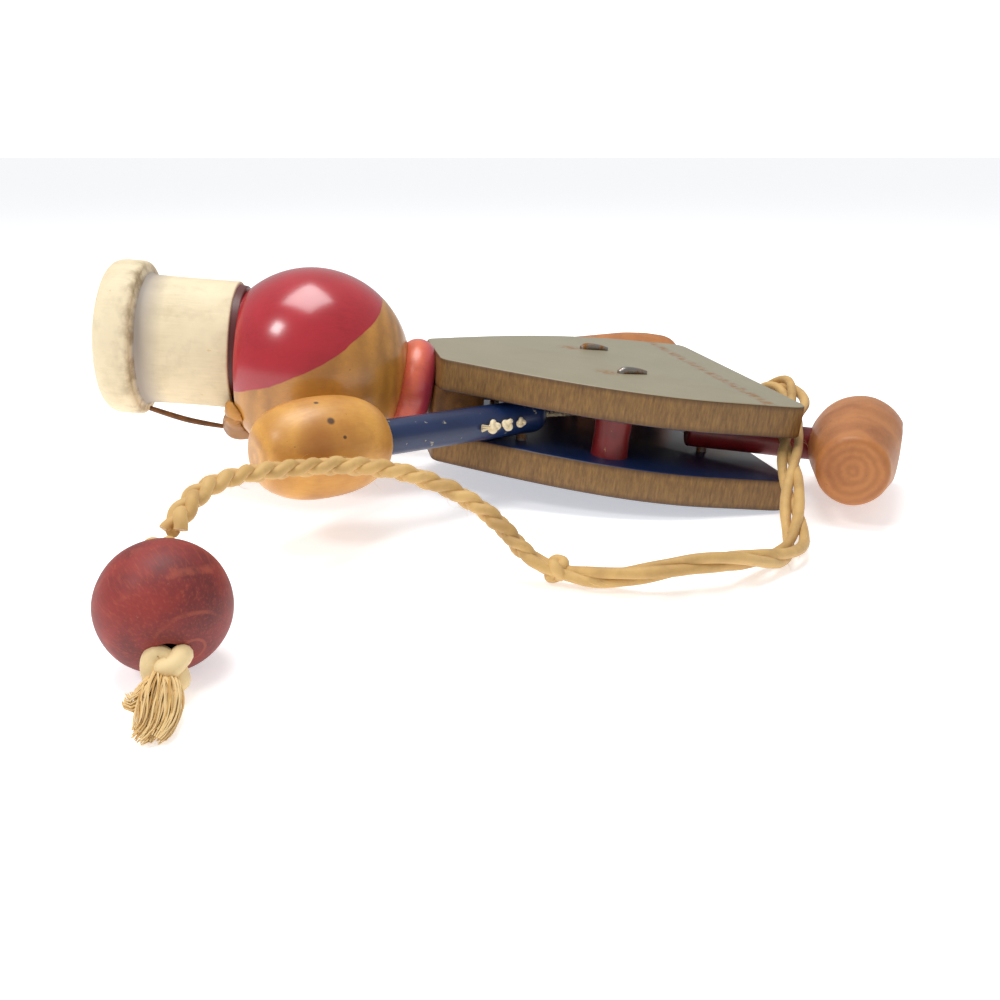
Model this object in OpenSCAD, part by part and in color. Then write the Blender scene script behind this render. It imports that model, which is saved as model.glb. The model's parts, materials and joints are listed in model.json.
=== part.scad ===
// Pull-string jumping jack in a bandsman's dress, lying face down on a table.
// The body frame runs along the figure: x to the feet, y to the figure's right hand, z out of its back,
// with z = 0 half way between the two boards and x = 0 at the middle of the neck ring.

/* [Body boards] */
// Length of each board from neck to hem
board_len = 65; // [58:1:72]
// Half width of a board at its neck end
board_neck_hw = 11; // [9:0.5:12]
// Half width of a board at its hem
board_hem_hw = 33; // [30:0.5:34]
// Thickness of each board
board_th = 6; // [5:0.5:7]
// Space between the two boards
board_gap = 8; // [7.8:0.1:9]

/* [Head and hat] */
// Diameter of the head ball
head_d = 37; // [35:0.2:38]
// Distance from the neck ring to the middle of the head
head_reach = 19.4; // [19:0.1:20.5]
// Outer diameter of the neck ring
ring_d = 18.4; // [16:0.2:20]
// Thickness of the neck ring along the neck
ring_w = 7; // [6:0.2:7.4]
// Diameter of the hat's straight wall
hat_d = 24.4; // [22:0.2:26]
// Diameter of the hat's crown flange
hat_flange_d = 29.2; // [28:0.2:33]
// Length of the hat's straight wall
hat_wall_len = 17.2; // [15:0.2:22]
// Thickness of the crown flange
hat_flange_len = 6.8; // [6:0.2:9]

/* [Limbs] */
// Diameter of the arm and leg dowels
limb_d = 6.4; // [5.8:0.1:6.5]
// Distance from the shoulder pin to the middle of the hand
arm_len = 41.5; // [39:0.5:43]
// Distance from the hip pin to the middle of the heel
leg_len = 30.6; // [30.5:0.1:33]
// Diameter of a hand bead
hand_d = 17.4; // [15:0.2:18]
// Length of a hand bead along its arm
hand_len = 23.5; // [22:0.5:27]
// Diameter of a shoe at its heel
shoe_d = 18.6; // [17:0.2:18.8]
// Length of a shoe from the leg to its toe
shoe_toe_len = 26; // [23:0.5:28]
// Diameter of the wire pins that the limbs turn on
pin_d = 2; // [1.6:0.1:2.2]

/* [Pull cord] */
// Diameter of the laid cord
cord_d = 3.4; // [2.8:0.1:3.8]
// Diameter of the pull bead
bead_d = 17.4; // [16:0.2:19]

/* [Hidden] */
$fn = 64;

// Where the body frame stands in the part's frame, and how far its neck end is raised
figure_x = -18.9;
figure_y = -3.7;
figure_z = 17.98;
rest_pitch = 6.5;

// Levels of the boards in the body frame
inner_z = board_gap / 2;
outer_z = inner_z + board_th;
board_x0 = 3.5;
board_x1 = board_x0 + board_len;
corner_r = 4;
outline_steps = 22;

// Neck and head
ring_z = 2.3;
neck_tilt = 7.2;
neck_turn = 3;
neck_dowel_d = 4;
neck_dowel_from = -9;
neck_dowel_to = 8;
block_len = 10;
block_hw = 7;
head_r = head_d / 2;
hat_turn = 7.6;
hat_lift = 5.1;
hat_set = [0, 1.2, 2.4];
hat_base = 14.4;
collar_d = 22.8;
collar_h = 1.4;
hat_dowel_d = 6;
nose_d = 7;
nose_tip_z = 0;
strap_d = 0.9;

// Pegs, nails and pins
peg_d = 7;
peg_at = [35.5, 21.5];
nail_d = 1.6;
nail_head_d = 4.2;
nail_head_h = 0.9;
left_nail_at = [38.6, -12.5];
right_nail_at = [38.3, 13.8];
nail_bend = 5.5;
shoulder_at = [20, 14];
hip_at = [57, 14.5];
pin_blind = 2;
pin_fit = 0.08;

// Limbs: the angles are measured outwards from the line of the body
left_arm_angle = 22;
right_arm_angle = 22;
left_leg_angle = 12;
right_leg_angle = 76;
arm_lift = 0.5;
arm_droop = 5.5;
arm_tail = 4.6;
leg_tail = 3.6;
hand_socket = 7;
shoe_turn = 110;
shoe_lift = 1.2;
shoe_heel_back = 7.6;
shoe_toe_r = 6.2;
sole_at = 7.4;
string_d = 1.2;
gather_at = [44, 0];
gather_d = 4;
arm_string_gap = 0.35;
leg_string_gap = 1.3;

// Bead and knots on the cord
bead_at = [-40, -72.5, 8.75];
bead_bore_d = 3.6;
bead_lean = 61;
knot_out = 1.9;
knot_d = 5;
cord_sides = 8;
barrel_steps = 28;

// Route of the pull cord on the table, in the body frame's plan and in height above the table
route = [
    [45.6, 0, 12.8], [54, 0.5, 11.9], [61, 1, 11.1], [66, 1.5, 10.7], [70, 1.8, 11.8],
    [73.6, 1, 14.4], [76.2, -1.5, 17.1], [77.2, -6, 18.2], [76.6, -11, 17.3],
    [75, -16, 16], [72.2, -20.5, 14.9], [69.4, -25, 13.4], [66.6, -31, 11.4],
    [64, -37, 9.2], [61.6, -43, 6.8], [59.6, -48.8, 4.2], [57, -54, 2.3],
    [52.8, -57.8, 2.2], [47.4, -60.6, 3.2], [42, -62.6, 4.4], [36.6, -63.6, 4.8],
    [31.2, -63.4, 4.2], [26, -62, 3.2], [21.4, -59.8, 2.4], [17.6, -57.6, 2.3],
    [14, -56, 3.2], [11.2, -54.6, 5.4], [8.8, -52.4, 8], [6, -49.8, 10.6],
    [1.6, -46.6, 13], [-4, -43.8, 15], [-10, -41.9, 16.2], [-16, -41.6, 16.8],
    [-22, -42.8, 17.2], [-27.6, -45.4, 17.7], [-32.4, -49.4, 18.2], [-36.2, -54.4, 17.9],
    [-38.6, -59, 16.2], [-39.5, -61.4, 14.9]];
mid_knot_at = [16, -56.8, 2.9];
mid_knot_d = 5;

// ---------- helpers ----------

// Half width of the bell-shaped outline, a fraction t of the way from neck to hem
function outline_hw(t) = board_neck_hw + (board_hem_hw - board_neck_hw) * sin(min(90, 120 * t));

function outline_side(s) = [
    for (i = [0 : outline_steps])
        let (t = i / outline_steps)
        [board_x0 + board_len * t, s * outline_hw(t)]];

function backwards(list) = [for (i = [len(list) - 1 : -1 : 0]) list[i]];

module in_figure() {
    translate([figure_x, figure_y, figure_z]) rotate([0, rest_pitch, 0]) children();
}

module on_table() {
    translate([figure_x, figure_y, 0]) children();
}

// Neck axis: children are drawn with +z from the neck ring towards the head
module on_neck(along) {
    in_figure()
        translate([0, 0, ring_z])
            rotate([0, neck_tilt, -neck_turn])
                rotate([0, -90, 0])
                    translate([0, 0, along]) children();
}

// Middle of the head in the part's frame
neck_dir = [-cos(neck_tilt) * cos(neck_turn), cos(neck_tilt) * sin(neck_turn), sin(neck_tilt)];
head_local = [0, 0, ring_z] + head_reach * neck_dir;
head_at = [
    figure_x + head_local[0] * cos(rest_pitch) + head_local[2] * sin(rest_pitch),
    figure_y + head_local[1],
    figure_z - head_local[0] * sin(rest_pitch) + head_local[2] * cos(rest_pitch)];

// Hat axis, set back on the head: children are drawn with +z towards the crown
module on_hat() {
    translate(head_at + hat_set) rotate([0, hat_lift, -hat_turn]) rotate([0, -90, 0]) children();
}

// Bell-shaped board outline, hem towards +x, with softened corners
module board_outline() {
    offset(r = corner_r) offset(delta = -corner_r)
        polygon(concat(outline_side(-1), backwards(outline_side(1))));
}

module board_blank() {
    linear_extrude(board_th) board_outline();
}

module at_pins() {
    for (s = [-1, 1], p = [shoulder_at, hip_at])
        translate([p[0], s * p[1], 0]) cylinder(d = pin_d, h = 100, center = true);
}

module at_nails() {
    for (p = [left_nail_at, right_nail_at])
        translate([p[0], p[1], 0]) {
            cylinder(d = nail_d, h = 100, center = true);
            translate([0, 0, -outer_z]) cylinder(d = nail_head_d, h = nail_head_h);
        }
}

// A straight cord between two points
module run(a, b, d) {
    v = b - a;
    l = norm(v);
    translate(a) rotate([0, acos(v[2] / l), atan2(v[1], v[0])]) cylinder(d = d, h = l, $fn = 24);
}

// Catmull-Rom point between b and c
function smooth_point(a, b, c, d, t) =
    0.5 * ((2 * b) + (c - a) * t + (2 * a - 5 * b + 4 * c - d) * t * t
        + (3 * b - a - 3 * c + d) * t * t * t);

function route_point(r, i) = r[max(0, min(len(r) - 1, i))];

function smooth_route(r) = concat(
    [for (i = [0 : len(r) - 2], t = [0, 0.5])
        smooth_point(route_point(r, i - 1), r[i], r[i + 1], route_point(r, i + 2), t)],
    [r[len(r) - 1]]);

function unit(v) = v / norm(v);

function route_dir(c, i) = unit(route_point(c, i + 1) - route_point(c, i - 1));

// One ring of the swept tube, square to the route
function tube_ring(c, i, d) =
    let (
        z = route_dir(c, i),
        x = unit(cross(z, [0.1, 0.2, 1])),
        y = cross(z, x))
    [for (k = [0 : cord_sides - 1])
        c[i] + d / 2 * (x * cos(360 * k / cord_sides) + y * sin(360 * k / cord_sides))];

module swept_tube(c, d) {
    n = len(c);
    points = [for (i = [0 : n - 1]) each tube_ring(c, i, d)];
    sides = [for (i = [0 : n - 2], k = [0 : cord_sides - 1])
        let (a = i * cord_sides + k, b = i * cord_sides + (k + 1) % cord_sides)
        [a, b, b + cord_sides, a + cord_sides]];
    first = [for (k = [cord_sides - 1 : -1 : 0]) k];
    last = [for (k = [0 : cord_sides - 1]) (n - 1) * cord_sides + k];
    polyhedron(points, concat([first], sides, [last]), convexity = 6);
}

// ---------- body ----------

module back_board() {
    color("darkkhaki") in_figure()
        difference() {
            translate([0, 0, inner_z]) board_blank();
            at_nails();
            intersection() {
                at_pins();
                cube([200, 200, 2 * (inner_z + pin_blind)], center = true);
            }
        }
}

module front_board() {
    color("navy") in_figure()
        difference() {
            translate([0, 0, -outer_z]) board_blank();
            at_nails();
            at_pins();
        }
}

module neck_block() {
    color("peru")
        difference() {
            in_figure() translate([board_x0, -block_hw, -inner_z]) cube([block_len, 2 * block_hw, board_gap]);
            on_neck(neck_dowel_from) cylinder(d = neck_dowel_d, h = -neck_dowel_from);
        }
}

module neck_dowel() {
    color("burlywood") on_neck(neck_dowel_from) cylinder(d = neck_dowel_d, h = neck_dowel_to - neck_dowel_from);
}

module neck_ring() {
    color("orangered") on_neck(0)
        difference() {
            rotate_extrude()
                translate([neck_dowel_d / 2, 0]) intersection() {
                    translate([0, -ring_w / 2]) square([ring_d, ring_w]);
                    hull() for (x = [1, ring_d / 2 - neck_dowel_d / 2 - ring_w / 2])
                        translate([x, 0]) circle(d = ring_w);
                }
            // the ring is dished to the head, and worn flat where it bears on the ends of the boards
            translate([0, 0, head_reach]) sphere(d = head_d + 0.04, $fn = 96);
            rotate([0, neck_tilt, 0]) translate([0, 0, -50 - board_x0 + 0.15])
                cube([100, 100, 100], center = true);
        }
}

module spacer_peg(s) {
    in_figure() translate([peg_at[0], s * peg_at[1], -inner_z]) cylinder(d = peg_d, h = board_gap);
}

module left_spacer_peg() { color("firebrick") spacer_peg(-1); }
module right_spacer_peg() { color("firebrick") spacer_peg(1); }

// Wire nail driven from the front and bent flat over the back board
module clinched_nail(p, turn) {
    in_figure() translate([p[0], p[1], 0]) {
        translate([0, 0, -outer_z]) cylinder(d = nail_head_d, h = nail_head_h);
        translate([0, 0, -outer_z]) cylinder(d = nail_d, h = 2 * outer_z + nail_d / 2);
        rotate([0, 0, turn]) translate([0, 0, outer_z + nail_d / 2]) {
            sphere(d = nail_d);
            rotate([0, 90, 0]) cylinder(d1 = nail_d, d2 = nail_d * 0.6, h = nail_bend);
        }
    }
}

module left_clinched_nail() { color("dimgray") clinched_nail(left_nail_at, 12); }
module right_clinched_nail() { color("dimgray") clinched_nail(right_nail_at, 5); }

// Wire pin through the front board and the limb, ending blind in the back board
module limb_pin(at, s) {
    color("dimgray") in_figure()
        translate([at[0], s * at[1], -outer_z])
            cylinder(d = pin_d, h = outer_z + inner_z + pin_blind);
}

module left_shoulder_pin() { limb_pin(shoulder_at, -1); }
module right_shoulder_pin() { limb_pin(shoulder_at, 1); }
module left_hip_pin() { limb_pin(hip_at, -1); }
module right_hip_pin() { limb_pin(hip_at, 1); }

// ---------- head ----------

module head_ball() {
    color("crimson")
        difference() {
            translate(head_at) sphere(d = head_d, $fn = 96);
            on_hat() translate([0, 0, hat_base - collar_h]) cylinder(d = head_d, h = head_d);
            on_hat() translate([0, 0, hat_base - 7]) cylinder(d = hat_dowel_d, h = 20);
            on_neck(0) cylinder(d = neck_dowel_d, h = neck_dowel_to);
            nose_shank();
        }
}

module nose_shank() {
    translate([head_at[0], head_at[1], head_at[2] - head_r - 1]) cylinder(d = nose_d - 2, h = 6);
}

// Turned peg nose on the face side, which also props the head off the table
module nose_peg() {
    base_z = head_at[2] - sqrt(pow(head_r, 2) - pow(nose_d / 2, 2));
    color("burlywood") union() {
        nose_shank();
        translate([head_at[0], head_at[1], 0]) rotate_extrude()
            intersection() {
                translate([0, nose_tip_z]) square([nose_d / 2, head_at[2] - head_r - 0.2 - nose_tip_z]);
                hull() {
                    translate([0, nose_tip_z + nose_d / 2]) circle(d = nose_d, $fn = 48);
                    translate([0, base_z]) circle(d = nose_d - 0.6, $fn = 48);
                }
            }
    }
}

// Narrow collar on the head, straight wall and a rounded crown flange
module hat() {
    flange_r = hat_flange_d / 2;
    wall_r = hat_d / 2;
    rim = 2.6;
    color("ivory") on_hat() translate([0, 0, hat_base])
        difference() {
            rotate_extrude() {
                translate([0, -collar_h]) square([collar_d / 2, collar_h + 1]);
                square([wall_r, hat_wall_len + 0.5]);
                translate([0, hat_wall_len]) hull() {
                    square([flange_r - 0.8, hat_flange_len]);
                    translate([flange_r - 0.8, 0.8]) circle(r = 0.8, $fn = 32);
                    translate([flange_r - rim, hat_flange_len - rim]) circle(r = rim, $fn = 48);
                }
            }
            translate([0, 0, -2 * collar_h]) cylinder(d = hat_dowel_d, h = 2 * collar_h + 9.8);
        }
}

module hat_dowel() {
    color("burlywood") on_hat() translate([0, 0, hat_base - 7]) cylinder(d = hat_dowel_d, h = 16.8);
}

// Peak that wraps round the brow, on the face side of the hat's edge
module cap_peak() {
    brow_r = hat_d / 2 + 2.2;
    color("sienna")
        difference() {
            on_hat() translate([0, 0, hat_base]) hull() {
                for (a = [-46, 0, 46])
                    rotate([0, 0, a]) translate([-brow_r, 0, -2]) sphere(d = 5.4, $fn = 32);
                translate([-brow_r - 1.4, 0, 0]) sphere(d = 6.4, $fn = 32);
                translate([-brow_r - 1.2, 0, -9]) sphere(d = 4.4, $fn = 32);
            }
            on_hat() translate([0, 0, hat_base - collar_h]) cylinder(d = hat_d + 0.04, h = 20);
            translate(head_at) sphere(d = head_d + 0.04, $fn = 96);
            nose_peg();
        }
}

// Thin strap from the crown flange to the peak
module chin_strap() {
    color("saddlebrown")
        difference() {
            on_hat() run([-hat_d / 2 - 1.6, 0, hat_base + hat_wall_len + 0.6],
                [-hat_d / 2 - 4.4, 0, hat_base + 3], strap_d);
            hat();
        }
}

// ---------- limbs ----------

// Children are drawn with +x along the limb, from its pin
module on_arm(s, angle) {
    in_figure() translate([shoulder_at[0], s * shoulder_at[1], arm_lift])
        rotate([0, 0, s * (180 - angle)]) rotate([0, arm_droop, 0]) children();
}

module on_leg(s, angle) {
    in_figure() translate([hip_at[0], s * hip_at[1], 0]) rotate([0, 0, s * angle]) children();
}

module pin_hole(at, s) {
    in_figure() translate([at[0], s * at[1], 0]) cylinder(d = pin_d + 2 * pin_fit, h = 60, center = true);
}

// Dowel with rounded inner end, drilled for its pin
module arm_dowel(s, angle) {
    difference() {
        on_arm(s, angle) {
            translate([-arm_tail + limb_d / 2, 0, 0]) rotate([0, 90, 0])
                cylinder(d = limb_d, h = arm_len + arm_tail - limb_d / 2 - hand_len / 2 + hand_socket);
            translate([-arm_tail + limb_d / 2, 0, 0]) sphere(d = limb_d);
        }
        pin_hole(shoulder_at, s);
    }
}

module left_arm() { color("midnightblue") arm_dowel(-1, left_arm_angle); }
module right_arm() { color("midnightblue") arm_dowel(1, right_arm_angle); }

// Point on the side of the hand's barrel: an oval with flattened ends
function barrel_point(a) = [
    hand_d / 2 * pow(max(0, sin(a)), 0.75) * 0.8 + hand_d / 2 * 0.2,
    -hand_len / 2 * cos(a)];

// Barrel-shaped bead with a socket for the wrist
module hand_bead(s, angle) {
    on_arm(s, angle) translate([arm_len, 0, 0]) rotate([0, 90, 0])
        difference() {
            rotate_extrude() polygon(concat(
                [[0, -hand_len / 2]],
                [for (i = [0 : barrel_steps]) barrel_point(180 * i / barrel_steps)],
                [[0, hand_len / 2]]));
            translate([0, 0, -hand_len]) cylinder(d = limb_d, h = hand_len / 2 + hand_socket);
        }
}

module left_hand() { color("goldenrod") hand_bead(-1, left_arm_angle); }
module right_hand() { color("goldenrod") hand_bead(1, right_arm_angle); }

module leg_dowel(s, angle) {
    difference() {
        on_leg(s, angle) {
            translate([-leg_tail + 1, 0, 0]) rotate([0, 90, 0])
                cylinder(d = limb_d, h = leg_len + leg_tail - 1 - 2);
            translate([-leg_tail, 0, 0]) rotate([0, 90, 0])
                cylinder(d1 = limb_d - 1.4, d2 = limb_d, h = 1);
        }
        pin_hole(hip_at, s);
    }
}

module left_leg() { color("firebrick") leg_dowel(-1, left_leg_angle); }
module right_leg() { color("firebrick") leg_dowel(1, right_leg_angle); }

// Turned shoe: a tapered barrel with a flat sawn sole, drilled for the leg
module shoe(s, angle) {
    heel_r = shoe_d / 2;
    difference() {
        on_leg(s, angle) translate([leg_len, 0, shoe_lift]) rotate([0, 0, s * shoe_turn])
            difference() {
                rotate([0, 90, 0]) rotate_extrude() hull() {
                    translate([0, -shoe_heel_back]) square([heel_r - 4.5, 1]);
                    translate([heel_r - 4.5, -shoe_heel_back + 4.5]) circle(r = 4.5, $fn = 48);
                    translate([heel_r - 4.2, 6]) circle(r = 4, $fn = 48);
                    translate([shoe_toe_r - 1, shoe_toe_len - 1]) circle(r = 1, $fn = 32);
                    translate([0, shoe_toe_len - 1]) square([1, 1]);
                }
                translate([-50, -s * (sole_at + 50) - 50, -50]) cube([200, 100, 100]);
            }
        on_leg(s, angle) rotate([0, 90, 0]) cylinder(d = limb_d, h = leg_len - 2);
    }
}

module left_shoe() { color("chocolate") shoe(-1, left_leg_angle); }
module right_shoe() { color("chocolate") shoe(1, right_leg_angle); }

// Point in the body frame on a limb's tail
function arm_tail_at(s, angle) = [
    shoulder_at[0] + (arm_tail + 0.1) * cos(angle), s * (shoulder_at[1] - (arm_tail + 0.1) * sin(angle)), 0.8];
function leg_tail_at(s, angle) = [
    hip_at[0] - (leg_tail + 0.1) * cos(angle), s * (hip_at[1] - (leg_tail + 0.1) * sin(angle)), 0];
function short_of(a, b, gap) = b + (a - b) * gap / norm(a - b);

// Link string from a limb's tail to just short of the gathering knot
module link_string(a, gap) {
    g = [gather_at[0], gather_at[1], 0];
    color("wheat") in_figure() run(a, short_of(a, g, gather_d / 2 + gap), string_d);
}

module left_arm_string() { link_string(arm_tail_at(-1, left_arm_angle), arm_string_gap); }
module right_arm_string() { link_string(arm_tail_at(1, right_arm_angle), arm_string_gap); }
module left_leg_string() { link_string(leg_tail_at(-1, left_leg_angle), leg_string_gap); }
module right_leg_string() { link_string(leg_tail_at(1, right_leg_angle), leg_string_gap); }

// Frayed knot that lies along the outer side of the arm by its pin
module arm_knot(s, angle) {
    color("wheat")
        difference() {
            on_arm(s, angle) hull() {
                translate([-1.5, s * (limb_d / 2 + 0.5), 0]) sphere(d = 2, $fn = 24);
                translate([6, s * (limb_d / 2 + 0.7), 0.4]) sphere(d = 2.2, $fn = 24);
            }
            on_arm(s, angle) rotate([0, 90, 0]) cylinder(d = limb_d + 0.02, h = 60, center = true);
        }
}

module left_arm_knot() { arm_knot(-1, left_arm_angle); }
module right_arm_knot() { arm_knot(1, right_arm_angle); }

// ---------- pull cord ----------

module gather_knot() {
    color("tan") in_figure() translate([gather_at[0], gather_at[1], 0]) sphere(d = gather_d, $fn = 32);
}

module pull_cord() {
    color("darkgoldenrod") on_table() swept_tube(smooth_route(route), cord_d);
}

// A knot: an overhand turn's outer shape
module knot(at, d, dir) {
    on_table() translate(at) rotate([0, acos(dir[2] / norm(dir)), atan2(dir[1], dir[0])])
        turned_knot(d);
}

module mid_knot() {
    color("darkgoldenrod") knot(mid_knot_at, mid_knot_d, [-1, 0.3, 0.1]);
}

// Bead axis: children are drawn with +z towards the cord
module on_bead() {
    on_table() translate(bead_at) rotate([-bead_lean, 0, 0]) children();
}

module turned_knot(d) {
    rotate_extrude() intersection() {
        translate([0, -d]) square([d, 2 * d]);
        hull() for (x = [0, d * 0.2]) translate([x, 0]) circle(d = d * 0.68, $fn = 32);
    }
}

module bead_knot() {
    color("darkgoldenrod") on_bead() translate([0, 0, bead_d / 2 - 0.28 + knot_out - 0.2]) turned_knot(knot_d);
}

module pull_bead() {
    color("maroon") on_bead()
        difference() {
            sphere(d = bead_d, $fn = 96);
            cylinder(d = bead_bore_d, h = 2 * bead_d, center = true);
        }
}

module end_knot() {
    color("wheat") on_bead() translate([0, 0, -bead_d / 2 + 0.28 - knot_out + 0.2]) turned_knot(knot_d);
}

// Frayed end of the cord, lying on the table
module tassel() {
    color("wheat")
        difference() {
            on_table() hull() {
                translate([-40, -82.6, 3]) sphere(d = 3.4, $fn = 24);
                translate([-41, -88, 2.8]) sphere(d = 5.2, $fn = 24);
                translate([-41.6, -91, 2.2]) sphere(d = 3.8, $fn = 24);
            }
            on_bead() translate([0, 0, -bead_d / 2 + 0.28 - knot_out + 0.2]) turned_knot(knot_d + 0.02);
        }
}

back_board();
front_board();
neck_block();
neck_dowel();
neck_ring();
head_ball();
nose_peg();
hat();
hat_dowel();
cap_peak();
chin_strap();
left_spacer_peg();
right_spacer_peg();
left_clinched_nail();
right_clinched_nail();
left_shoulder_pin();
right_shoulder_pin();
left_hip_pin();
right_hip_pin();
left_arm();
left_hand();
left_arm_string();
left_arm_knot();
right_arm();
right_hand();
right_arm_string();
right_arm_knot();
left_leg();
left_shoe();
left_leg_string();
right_leg();
right_shoe();
right_leg_string();
gather_knot();
pull_cord();
mid_knot();
bead_knot();
pull_bead();
end_knot();
tassel();
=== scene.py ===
"""A pull-string jumping jack lying face down: the looks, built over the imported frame."""

import json
import logging
import math
import random
from collections.abc import Callable, Sequence
from dataclasses import dataclass, field
from enum import Enum

import bmesh
import bpy
from mathutils import Euler, Matrix, Vector, noise


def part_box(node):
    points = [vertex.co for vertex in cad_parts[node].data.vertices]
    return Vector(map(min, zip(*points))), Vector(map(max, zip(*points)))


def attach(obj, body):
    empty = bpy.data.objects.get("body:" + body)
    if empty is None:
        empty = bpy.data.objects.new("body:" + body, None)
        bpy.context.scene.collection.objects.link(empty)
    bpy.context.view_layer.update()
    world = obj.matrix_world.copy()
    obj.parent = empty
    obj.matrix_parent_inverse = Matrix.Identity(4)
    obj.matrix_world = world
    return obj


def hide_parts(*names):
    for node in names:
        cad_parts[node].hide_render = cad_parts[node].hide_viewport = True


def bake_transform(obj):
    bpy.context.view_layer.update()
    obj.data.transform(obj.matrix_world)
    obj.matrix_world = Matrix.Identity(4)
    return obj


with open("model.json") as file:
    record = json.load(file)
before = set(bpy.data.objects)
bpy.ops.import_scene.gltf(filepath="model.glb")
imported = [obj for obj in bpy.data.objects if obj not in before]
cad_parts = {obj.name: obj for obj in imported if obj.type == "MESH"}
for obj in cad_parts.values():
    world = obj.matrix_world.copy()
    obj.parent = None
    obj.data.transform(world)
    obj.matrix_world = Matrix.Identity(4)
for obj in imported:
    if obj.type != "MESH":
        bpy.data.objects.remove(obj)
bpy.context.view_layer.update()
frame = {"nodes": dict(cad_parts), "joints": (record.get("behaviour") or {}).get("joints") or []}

MM = 0.001
TURN = 2.0 * math.pi
LOG = logging.getLogger("jumping_jack")
ORIGIN = (-18.9, -3.7)
SHOULDER = (20.0, 14.0)
HIP = (57.0, 14.5)
GATHER_X = 44.0


class Side(Enum):
    """The figure's own left and right; the value is the sign of y in the body frame."""

    LEFT = -1
    RIGHT = 1


class Hex(Enum):
    """Colours as they look, sRGB."""

    CREAM = "ead9b6"
    CREAM_SHADE = "c9b792"
    DIRT_AND_SHADE_BROWN = "7d6238"
    STEP_GREY = "a59a8e"
    BARE_PALE = "d9b27a"
    HONEY = "cf8f34"
    HONEY_PALE = "dfa650"
    HONEY_DARK = "9a5a1c"
    AMBER = "b27c36"
    AMBER_DARK = "7c4c18"
    NUT = "7a4a20"
    NUT_DARK = "3c2210"
    RED = "b01f2c"
    RED_DEEP = "86101c"
    RED_PEG = "8c1f22"
    RED_PEG_DEEP = "5e1214"
    STAIN = "8e2c26"
    STAIN_DEEP = "5a1a1a"
    STAIN_PALE = "b4563c"
    ORANGE = "e2714a"
    ORANGE_DEEP = "b02c4e"
    NAVY = "172c56"
    NAVY_DEEP = "0c1836"
    OLIVE = "a39c84"
    OLIVE_DEEP = "857c64"
    RUST = "8a5a24"
    EDGE = "95703a"
    EDGE_DARK = "644522"
    SHOE = "b8763e"
    SHOE_DEEP = "8a4c20"
    STRING = "ead9b4"
    STRING_DARK = "a4875a"
    HEMP = "ba8c46"
    HEMP_PALE = "e0bd7c"
    HEMP_DARK = "6b4415"
    TOW = "dcae5c"
    TOW_PALE = "f0dcae"
    STEEL = "8f8a84"
    WHITE = "f4f4f4"


def linear(colour: Hex) -> tuple[float, float, float, float]:
    """Turn an sRGB hex colour to linear light.

    Args:
        colour: One of the named colours.

    Returns:
        Red, green, blue and alpha.
    """
    parts = [int(colour.value[i : i + 2], 16) / 255 for i in (0, 2, 4)]
    red, green, blue = (p / 12.92 if p <= 0.04045 else ((p + 0.055) / 1.055) ** 2.4 for p in parts)
    return red, green, blue, 1.0


def add(tree: bpy.types.NodeTree, kind: str, inputs: dict | None = None, **settings) -> bpy.types.Node:
    """Add one shader node with its settings and links.

    Args:
        tree: The material's node tree.
        kind: The node's type without its ShaderNode prefix.
        inputs: Socket name or number, and the value or the output socket that feeds it.
        **settings: Properties of the node.

    Returns:
        The new node.
    """
    node = tree.nodes.new("ShaderNode" + kind)
    for key, value in settings.items():
        setattr(node, key, value)
    for key, value in (inputs or {}).items():
        socket = node.inputs[key]
        if isinstance(value, bpy.types.NodeSocket):
            tree.links.new(value, socket)
        elif isinstance(value, Hex):
            socket.default_value = linear(value)
        else:
            socket.default_value = value
    return node


# ---------------------------------------------------------------- frames


def hinge(name: str) -> dict:
    """The record's joint of that name."""
    return next(j for j in frame["joints"] if j["name"] == name)


def figure_frame() -> Matrix:
    """Find the body frame from the record's left shoulder pin.

    Returns:
        x runs to the feet, y to the figure's right hand, z out of its back; x = 0 at the neck ring.
    """
    pin = hinge("left_shoulder")
    up = Vector(pin["axis"])
    across = Vector((0.0, 1.0, 0.0))
    along = across.cross(up)
    origin = Vector(pin["pos_m"]) - SHOULDER[0] * MM * along + SHOULDER[1] * MM * across
    turn = Matrix((along, across, up)).transposed()
    return Matrix.Translation(origin) @ turn.to_4x4()


FIGURE = figure_frame()


def spin_to(direction: Vector) -> Matrix:
    """A turn that takes +z to a direction."""
    return Vector((0, 0, 1)).rotation_difference(direction).to_matrix().to_4x4()


def turned(axis: str, degrees: float) -> Matrix:
    """A turn about one axis, in degrees."""
    return Matrix.Rotation(math.radians(degrees), 4, axis)


def moved(x: float, y: float, z: float) -> Matrix:
    """A move given in millimetres."""
    return Matrix.Translation((x * MM, y * MM, z * MM))


# ---------------------------------------------------------------- mesh making


def finish_mesh(
    name: str, bm: bmesh.types.BMesh, finishes: Sequence["Finish"], place: Matrix, sharp: float = 40.0
) -> bpy.types.Object:
    """Turn a bmesh in millimetres to a placed piece with its finishes.

    Args:
        name: Name of the piece.
        bm: The shape, in millimetres in its own frame; it is freed.
        finishes: One finish for each material number of the faces.
        place: Where the shape's own frame stands.
        sharp: Edges that turn more than this many degrees stay sharp.

    Returns:
        The object, at the origin, with its place in its mesh.
    """
    bmesh.ops.transform(bm, matrix=place @ Matrix.Scale(MM, 4), verts=bm.verts)
    mesh = bpy.data.meshes.new(name)
    bm.to_mesh(mesh)
    bm.free()
    mesh.shade_smooth()
    for face in mesh.polygons:
        if len(face.vertices) > 4:
            face.use_smooth = False
    mesh.set_sharp_from_angle(angle=math.radians(sharp))
    for finish in finishes:
        mesh.materials.append(finish.material())
    piece = bpy.data.objects.new(name, mesh)
    bpy.context.scene.collection.objects.link(piece)
    return piece


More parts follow.
